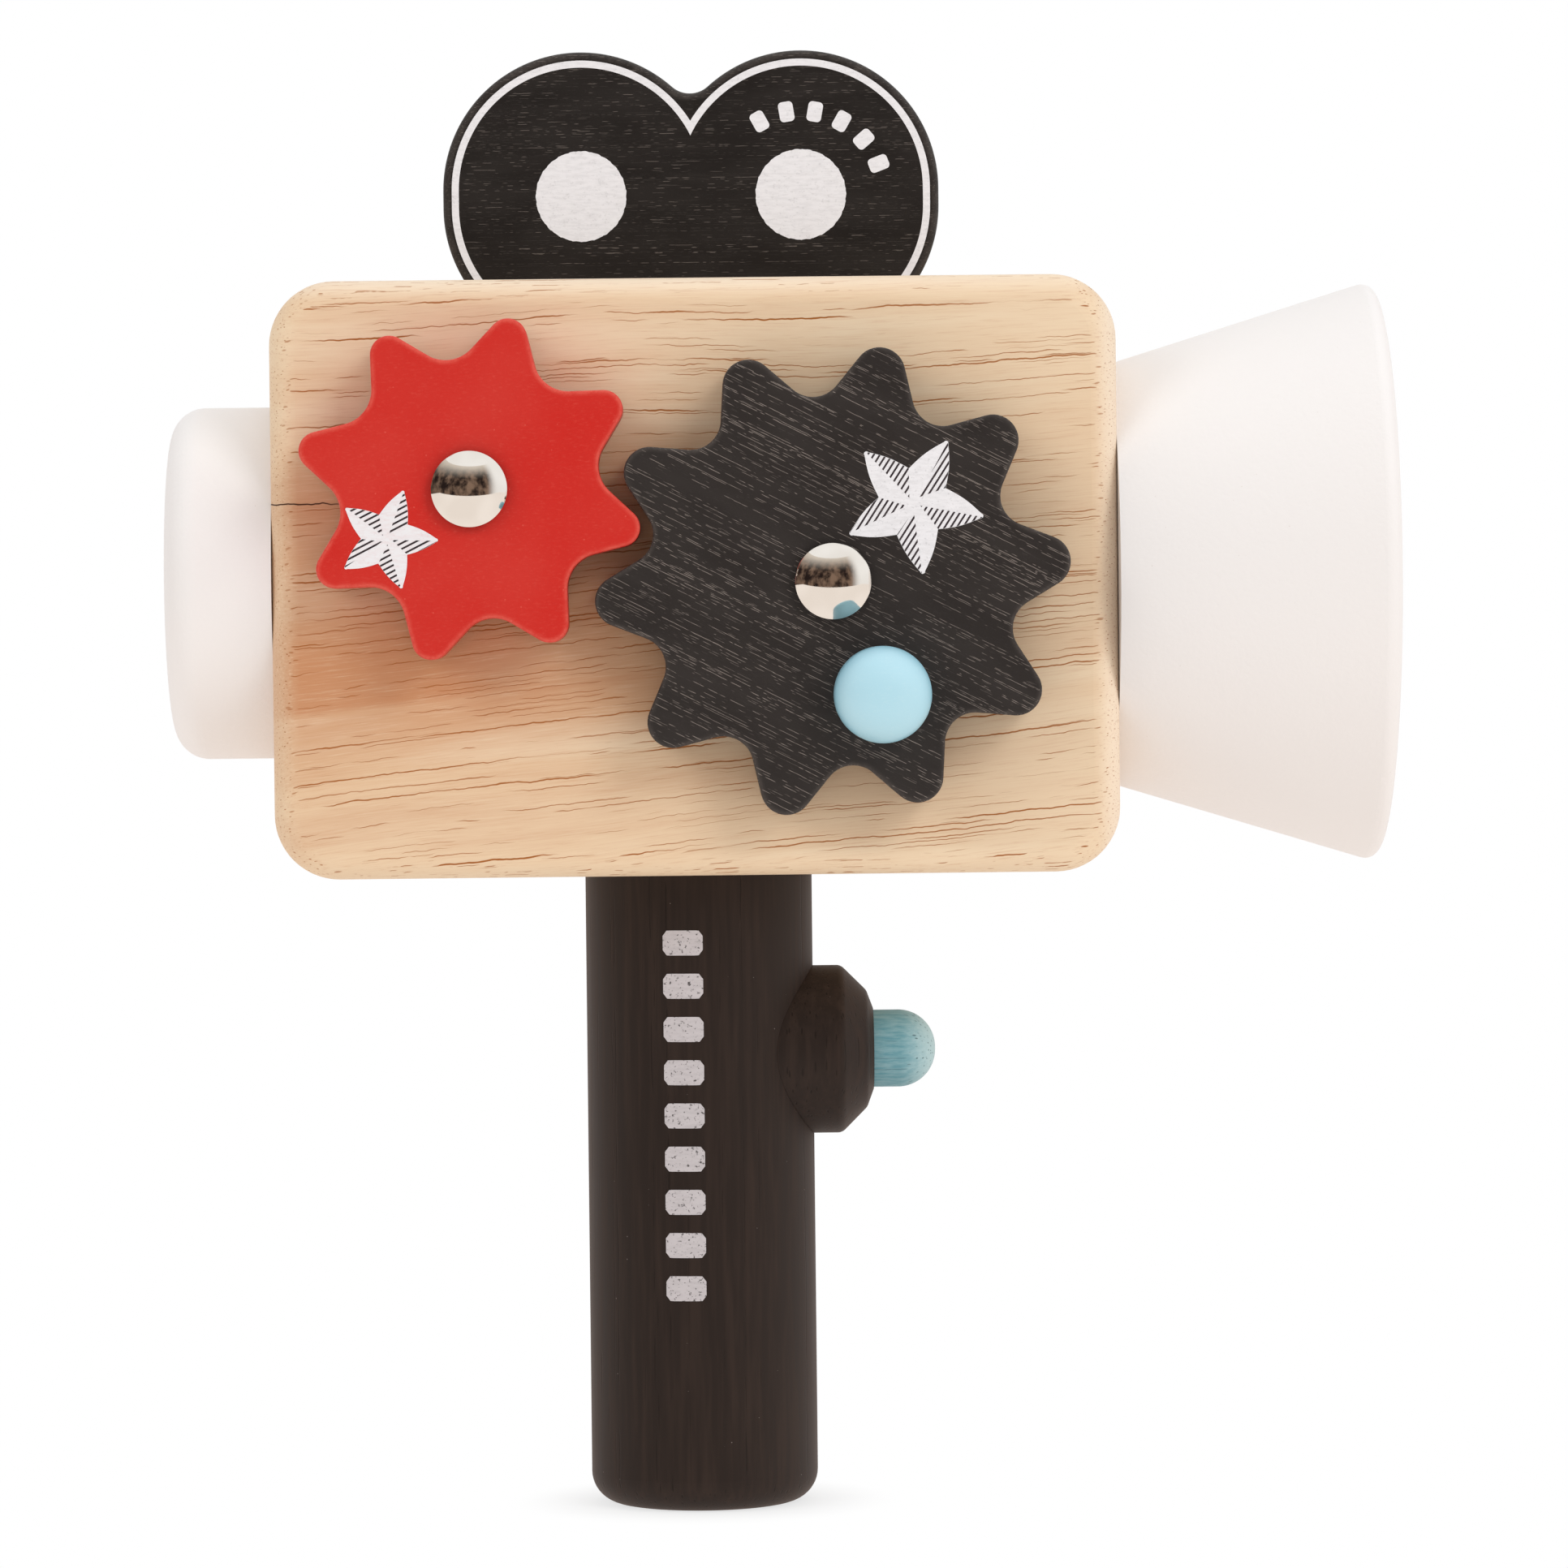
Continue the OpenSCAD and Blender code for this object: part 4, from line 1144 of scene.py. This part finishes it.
def reel_outline(inset):
    """Outline of the reels, inset, from the block over the notch and back: (x, z) in millimetres."""
    notch_z = math.sqrt((REEL_R + REEL_NOTCH_R) ** 2 - REEL_HALF_SPACING ** 2)
    touch = math.degrees(math.atan2(notch_z, -REEL_HALF_SPACING))
    lobe = reel_lobe(REEL_R - inset, 0.0, touch, REEL_PLATE_STEPS)
    notch = arc_points((0.0, notch_z), REEL_NOTCH_R + inset, touch - 180, -90.0, REEL_NOTCH_STEPS)
    return mirrored(lobe + notch[1:])


def reel_line(inset):
    """One edge of the white line, up to the middle and back: (x, z) in millimetres."""
    radius = REEL_R - inset
    meeting = math.degrees(math.acos(-REEL_HALF_SPACING / radius))
    return mirrored(reel_lobe(radius, LINE_LIFT, meeting, REEL_LINE_STEPS))


def make_reel_plate(material, sizes):
    """Plate in the shape of two reels, rounded all round and flat where it stands on the block."""
    low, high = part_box("reel_plate")
    base = low.z + REEL_RISE * MM
    section = edge_section(sizes.plate_edge / MM, (high.y - low.y) / MM)
    verts, edges, faces = [], [], []
    for inset, depth, worn in section:
        for x, z in reel_outline(inset):
            verts.append((x * MM, high.y - depth * MM, base + z * MM))
            edges.append(worn)
    count = len(verts) // len(section)
    starts = range(0, len(verts), count)
    for start in starts[:-1]:
        for a in range(start, start + count - 1):
            faces.append((a, a + 1, a + count + 1, a + count))
    faces.append(tuple(range(count)))
    faces.append(tuple(range(starts[-1], len(verts))))
    faces.append((*starts, *(start + count - 1 for start in reversed(starts))))
    made = piece("reel_plate_shaped", verts, faces, material, edges)
    join_frame(made, "camera", "black_paint", "reel_plate")


def uneven(angle, seed):
    """Small regular unevenness of a printed edge."""
    return sum(share * math.sin(count * angle + shift * seed) for count, share, shift in HUB_WAVES)


def make_reel_print(ink, sizes):
    """White line round the reels, their hubs, and a row of perforation marks over the right hub."""
    low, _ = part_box("reel_plate")
    base = low.z + REEL_RISE * MM
    hub_x, hub_z = REEL_HALF_SPACING * MM, base - HUB_DROP * MM
    inset, width = sizes.reel_line_inset / MM, sizes.reel_line_width / MM
    outer, inner = reel_line(inset), reel_line(inset + width)
    line = [(x * MM, base + z * MM) for x, z in outer + inner[::-1]]
    join_frame(print_piece("reel_line", [line], low.y, ink, sizes), "camera", "black_paint")
    hubs = []
    for side in (-1, 1):
        hub = []
        for angle in (TURN * k / HUB_POINTS for k in range(HUB_POINTS)):
            reach = sizes.hub_radius + HUB_UNEVEN * MM * uneven(angle, side)
            hub.append((side * hub_x + reach * math.cos(angle), hub_z + reach * math.sin(angle)))
        hubs.append(hub)
    join_frame(print_piece("reel_hubs", hubs, low.y, ink, sizes), "camera", "black_paint")
    mark = [(sizes.reel_mark_radius + x * MM, z * MM) for x, z in rounded_rectangle(**REEL_MARK)]
    made = grown(
        "reel_marks", print_piece("reel_mark", [mark], 0.0, ink, sizes), copies_tree(), False,
        Count=sizes.reel_marks, First_Turn=math.radians(REEL_MARKS_START),
        Turn_Step=math.radians(REEL_MARKS_SPAN / max(sizes.reel_marks - 1, 1)),
        Centre=(hub_x, low.y, hub_z), Weld=0.0, Material=ink,
    )
    join_frame(made, "camera", "black_paint")


def make_handle_marks(ink, sizes):
    """Column of worn perforation marks down the handle, lying on its round face."""
    low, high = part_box("handle")
    radius = (high.x - low.x) / 2
    width, height, corner = (HANDLE_MARK[key] * MM for key in ("width", "height", "corner"))
    verts, faces = [], []
    for layer in (radius - PRINT_SINK * MM, radius + sizes.print_height):
        for k in range(HANDLE_MARK_STEPS + 1):
            x = -width / 2 + width * k / HANDLE_MARK_STEPS
            room = max(0.0, abs(x) - (width / 2 - corner))
            tall = height / 2 - corner + math.sqrt(max(corner ** 2 - room ** 2, 0.0))
            angle = (x - HANDLE_MARK_SHIFT * MM) / radius
            for z in (-tall, tall):
                verts.append((layer * math.sin(angle), -layer * math.cos(angle), z))
    outer = len(verts) // 2
    last = 2 * HANDLE_MARK_STEPS
    for a in range(0, last, 2):
        faces.append((a, a + 2, a + 3, a + 1))
        faces.append((outer + a, outer + a + 1, outer + a + 3, outer + a + 2))
        faces.append((a, outer + a, outer + a + 2, a + 2))
        faces.append((a + 1, a + 3, outer + a + 3, outer + a + 1))
    for a in (0, last):
        faces.append((a, a + 1, outer + a + 1, outer + a))
    made = grown(
        "handle_marks", piece("handle_mark", verts, faces, ink), copies_tree(), False,
        Count=sizes.handle_marks, Step=(0.0, 0.0, sizes.handle_mark_pitch),
        Centre=(0.0, 0.0, HANDLE_MARK_LOWEST * MM), Weld=0.0, Material=ink,
    )
    join_frame(made, "camera", "brown_stain")


def make_spring(material):
    """Round-wire spring, wound where the frame's spring lies."""
    low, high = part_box("button_spring")
    start = piece("spring_start", [(0, 0, 0), (MM, 0, 0), (0, MM, 0)], [(0, 1, 2)], material)
    wire = SPRING_WIRE_R * MM
    middle = (low.z + high.z) / 2
    made = grown(
        "button_coil", start, coil_tree(), Turns=float(SPRING_TURNS), Radius=SPRING_R * MM, Wire=wire,
        Length=high.x - low.x - 2 * wire, Start=(low.x + wire, 0.0, middle), Material=material,
    )
    made.data.materials.clear()
    made.data.materials.append(material)
    join_frame(made, "camera", "spring_steel", "button_spring")
    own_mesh(made)


# Stage


def blend(tree, share, first, second, out):
    """Leads two shaders to an output, the second one by a share."""
    either = add_in_order(tree, "ShaderNodeMixShader", share, first.outputs[0], second.outputs[0])
    feed(tree, out.inputs["Surface"], either.outputs[0])


def make_world():
    """White for rays that show the background itself: to the camera, in gloss or through the lens."""
    world = bpy.data.worlds.new("studio")
    world.use_nodes = True
    tree = world.node_tree
    tree.nodes.clear()
    dim = add(tree, "ShaderNodeBackground", None, Color=opaque(WHITE), Strength=AMBIENT)
    white = add(tree, "ShaderNodeBackground", None, Color=opaque(WHITE), Strength=1.0)
    rays = add(tree, "ShaderNodeLightPath").outputs
    shown = calc(tree, "MAXIMUM", rays["Is Camera Ray"], rays["Is Glossy Ray"])
    shown = calc(tree, "MAXIMUM", shown, rays["Is Transmission Ray"])
    blend(tree, shown, dim, white, add(tree, "ShaderNodeOutputWorld"))
    bpy.context.scene.world = world


def stage_mesh(name, verts, faces, material):
    mesh = bpy.data.meshes.new(name)
    mesh.from_pydata(verts, [], faces)
    mesh.materials.append(material)
    made = placed(name, mesh)
    return made


def make_floor():
    """Pale floor that keeps the shadow round the foot, runs out to white and lights from below."""
    finish = Finish("floor", FLOOR_GREY, Roughness=1.0, Specular_IOR_Level=0.0)
    tree = finish.tree
    x, y, _ = parts(tree, finish.place)
    away = calc(tree, "SQRT", calc(tree, "ADD", product(tree, x, x), product(tree, y, y)))
    rays = add(tree, "ShaderNodeLightPath").outputs
    tone = mix(tree, rays["Is Camera Ray"], FLOOR_WARM, WHITE)
    glow = add(tree, "ShaderNodeEmission", None, Color=tone, Strength=1.0)
    share = smooth(tree, away, *FLOOR_FADE, *FLOOR_GLOW)
    blend(tree, share, finish.shader, glow, tree.nodes["Material Output"])
    front = [(side, FLOOR_FRONT, 0) for side in (-FLOOR_SIDE, FLOOR_SIDE)]
    back = [(side, FLOOR_BACK, 0) for side in (FLOOR_SIDE, -FLOOR_SIDE)]
    stage_mesh("floor", front + back, [(0, 1, 2, 3)], finish.done())


def make_dim_room(colours):
    """Dim room round the camera, which the polished heads and the front faces show."""
    finish = Finish("dim_room", colours.room_dark)
    tree = finish.tree
    x, _, z = parts(tree, finish.place)
    finish.fade(colours.room_warm, finish.noise((0.0014, 0.0014, 0.0011), 5.0, 0.62), 0.36, 0.66)
    finish.fade(colours.room_pale, z, *ROOM_TOP_FADE)
    finish.fade(WHITE, x, *ROOM_END_FADE)
    glow = result(tree, "ShaderNodeEmission", Color=finish.tone, Strength=1.0)
    feed(tree, tree.nodes["Material Output"].inputs["Surface"], glow)
    wall = arc_points((0.0, 0.0), ROOM_R, ROOM_START, ROOM_START + ROOM_SPAN, ROOM_STEPS)
    verts = [(*point, height) for point in wall for height in ROOM_HEIGHTS]
    faces = [(2 * k, 2 * k + 2, 2 * k + 3, 2 * k + 1) for k in range(ROOM_STEPS)]
    room = stage_mesh("dim_room", verts, faces, finish.material)
    room.visible_camera = False
    room.visible_shadow = False
    room.visible_diffuse = False
    room.visible_transmission = False


def aim_at(made, place, aim, roll=0.0):
    """Puts a lamp or a camera in its place, facing a point; the roll is in degrees."""
    made.location = place
    made.rotation_mode = "QUATERNION"
    look = (Vector(aim) - Vector(place)).to_track_quat("-Z", "Y")
    made.rotation_quaternion = look @ Quaternion((0, 0, 1), math.radians(roll))


def make_lamp(name, place, aim, size, power):
    """Soft lamp that isn't seen itself."""
    data = bpy.data.lights.new(name, "AREA")
    data.shape = "SQUARE"
    data.size = size
    data.energy = power
    lamp = placed(name, data)
    aim_at(lamp, place, aim)
    lamp.visible_camera = False
    lamp.visible_glossy = False


def make_camera():
    data = bpy.data.cameras.new("camera")
    data.lens = CAMERA_LENS
    eye = placed("camera", data)
    aim_at(eye, CAMERA_PLACE, CAMERA_AIM, CAMERA_ROLL)
    bpy.context.scene.camera = eye


# Operators


def chosen(context):
    """Sizes and colours of the scene."""
    return context.scene.film_camera_sizes, context.scene.film_camera_colours


class FILMCAMERA_OT_stage(bpy.types.Operator):
    """Floor, light and camera"""

    bl_idname = "film_camera.stage"
    bl_label = "Stage"

    def execute(self, context):
        _, colours = chosen(context)
        context.scene.view_settings.view_transform = "Standard"
        make_camera()
        make_world()
        make_floor()
        make_dim_room(colours)
        for name, lamp in LAMPS.items():
            make_lamp(name, *lamp)
        return {"FINISHED"}


class FILMCAMERA_OT_block(bpy.types.Operator):
    """Wooden block with its grain, and the dowels and sleeve inside it"""

    bl_idname = "film_camera.block"
    bl_label = "Block"

    def execute(self, context):
        _, colours = chosen(context)
        dress(wood_finish(colours), "body_block")
        dress(birch_finish(colours), "reel_dowels", "handle_dowel", "lens_sleeve")
        return {"FINISHED"}


class FILMCAMERA_OT_reels(bpy.types.Operator):
    """Reel plate and its print"""

    bl_idname = "film_camera.reels"
    bl_label = "Reels"

    def execute(self, context):
        sizes, colours = chosen(context)
        black = black_finish(
            "black_paint_reels", colours.plate_black, colours, sizes, grain_angle=0.0, show=0.4
        )
        make_reel_plate(black, sizes)
        make_reel_print(print_finish("reel_print", colours.print_white, colours.black, worn=0.12), sizes)
        return {"FINISHED"}


class FILMCAMERA_OT_gears(bpy.types.Operator):
    """Both gears with their stars"""

    bl_idname = "film_camera.gears"
    bl_label = "Gears"

    def execute(self, context):
        sizes, colours = chosen(context)
        black = black_finish("black_paint_gear", colours.black, colours, sizes, grain_angle=-27.0, show=0.85)
        make_gear("black_gear", black, sizes)
        red = coat_finish(
            "red_paint", colours.red, colours.red_worn, colours.red_worn, sizes, peel=0.5, speck=0.12,
            shine=0.3, relief=0.08,
        )
        make_gear("red_gear", red, sizes)
        shade = print_finish("star_hatching", colours.print_dark, colours.black_fibre, worn=0.2)
        for gear, shape in GEARS.items():
            name, ground = shape["paint"], getattr(colours, shape["paint"])
            ink = print_finish("star_print_" + name, colours.print_white, ground, shape["star_worn"])
            make_star(gear, getattr(sizes, name + "_star"), ink, shade, sizes)
        return {"FINISHED"}


class FILMCAMERA_OT_pins(bpy.types.Operator):
    """Gear pins and washers, and the ring that holds the lens"""

    bl_idname = "film_camera.pins"
    bl_label = "Pins"

    def execute(self, context):
        _, colours = chosen(context)
        chrome, fibre = chrome_finish(colours), fibre_finish(colours)
        for gear in GEARS:
            make_pin(gear, chrome)
            dress(fibre, gear + "_back_washer", gear + "_front_washer")
        dress(fibre, "lens_ring")
        return {"FINISHED"}


class FILMCAMERA_OT_knob(bpy.types.Operator):
    """Crank knob"""

    bl_idname = "film_camera.knob"
    bl_label = "Crank knob"

    def execute(self, context):
        sizes, colours = chosen(context)
        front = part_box("crank_knob")[0].y / MM
        make_knob(coat_finish(
            "blue_paint", colours.blue, colours.blue_worn, colours.blue_speck, sizes, peel=0.8,
            # Painted shade on the knob's side
            shade_rim=(colours.blue_painted_shade, front + KNOB_SHADE_START, front + KNOB_SHADE_END),
        ))
        return {"FINISHED"}


class FILMCAMERA_OT_optics(bpy.types.Operator):
    """Eyepiece, lens hood and lens"""

    bl_idname = "film_camera.optics"
    bl_label = "Eyepiece and hood"

    def execute(self, context):
        sizes, colours = chosen(context)
        white = coat_finish(
            "white_paint", colours.white, colours.white_worn, colours.white_speck, sizes, peel=0.9,
            rough=(0.42, 0.55), relief=0.11,
        )
        dress(white, "eyepiece", "lens_hood")
        dress(lens_finish(colours), "kaleidoscope_lens")
        return {"FINISHED"}


class FILMCAMERA_OT_handle(bpy.types.Operator):
    """Handle with its marks, and the button's housing"""

    bl_idname = "film_camera.handle"
    bl_label = "Handle"

    def execute(self, context):
        sizes, colours = chosen(context)
        dress(brown_finish(colours), "handle", "button_housing")
        make_handle_marks(print_finish("handle_print", colours.print_grey, colours.brown, worn=0.85), sizes)
        return {"FINISHED"}


class FILMCAMERA_OT_button(bpy.types.Operator):
    """Push button and its spring"""

    bl_idname = "film_camera.button"
    bl_label = "Push button"

    def execute(self, context):
        _, colours = chosen(context)
        dress(button_finish(colours), "push_button")
        make_spring(wire_finish(colours))
        return {"FINISHED"}


class FILMCAMERA_PT_panel(bpy.types.Panel):
    """Lists the pieces and their sizes and colours"""

    bl_label = "Film camera"
    bl_idname = "FILMCAMERA_PT_panel"
    bl_space_type = "VIEW_3D"
    bl_region_type = "UI"
    bl_category = "Film camera"

    def draw(self, context):
        for step in STEPS:
            self.layout.operator(step.bl_idname)
        for group in chosen(context):
            box = self.layout.box()
            for key in group.__annotations__:
                box.prop(group, key)


STEPS = (
    FILMCAMERA_OT_stage, FILMCAMERA_OT_block, FILMCAMERA_OT_reels, FILMCAMERA_OT_gears, FILMCAMERA_OT_pins,
    FILMCAMERA_OT_knob, FILMCAMERA_OT_optics, FILMCAMERA_OT_handle, FILMCAMERA_OT_button,
)
CLASSES = (FilmCameraSizes, FilmCameraColours) + STEPS + (FILMCAMERA_PT_panel,)


def register():
    for item in CLASSES:
        bpy.utils.register_class(item)
    bpy.types.Scene.film_camera_sizes = PointerProperty(type=FilmCameraSizes)
    bpy.types.Scene.film_camera_colours = PointerProperty(type=FilmCameraColours)


def unregister():
    del bpy.types.Scene.film_camera_colours
    del bpy.types.Scene.film_camera_sizes
    for item in reversed(CLASSES):
        bpy.utils.unregister_class(item)


def main():
    register()
    for step in STEPS:
        getattr(bpy.ops.film_camera, step.bl_idname.split(".")[1])()


if __name__ == "__main__":
    main()
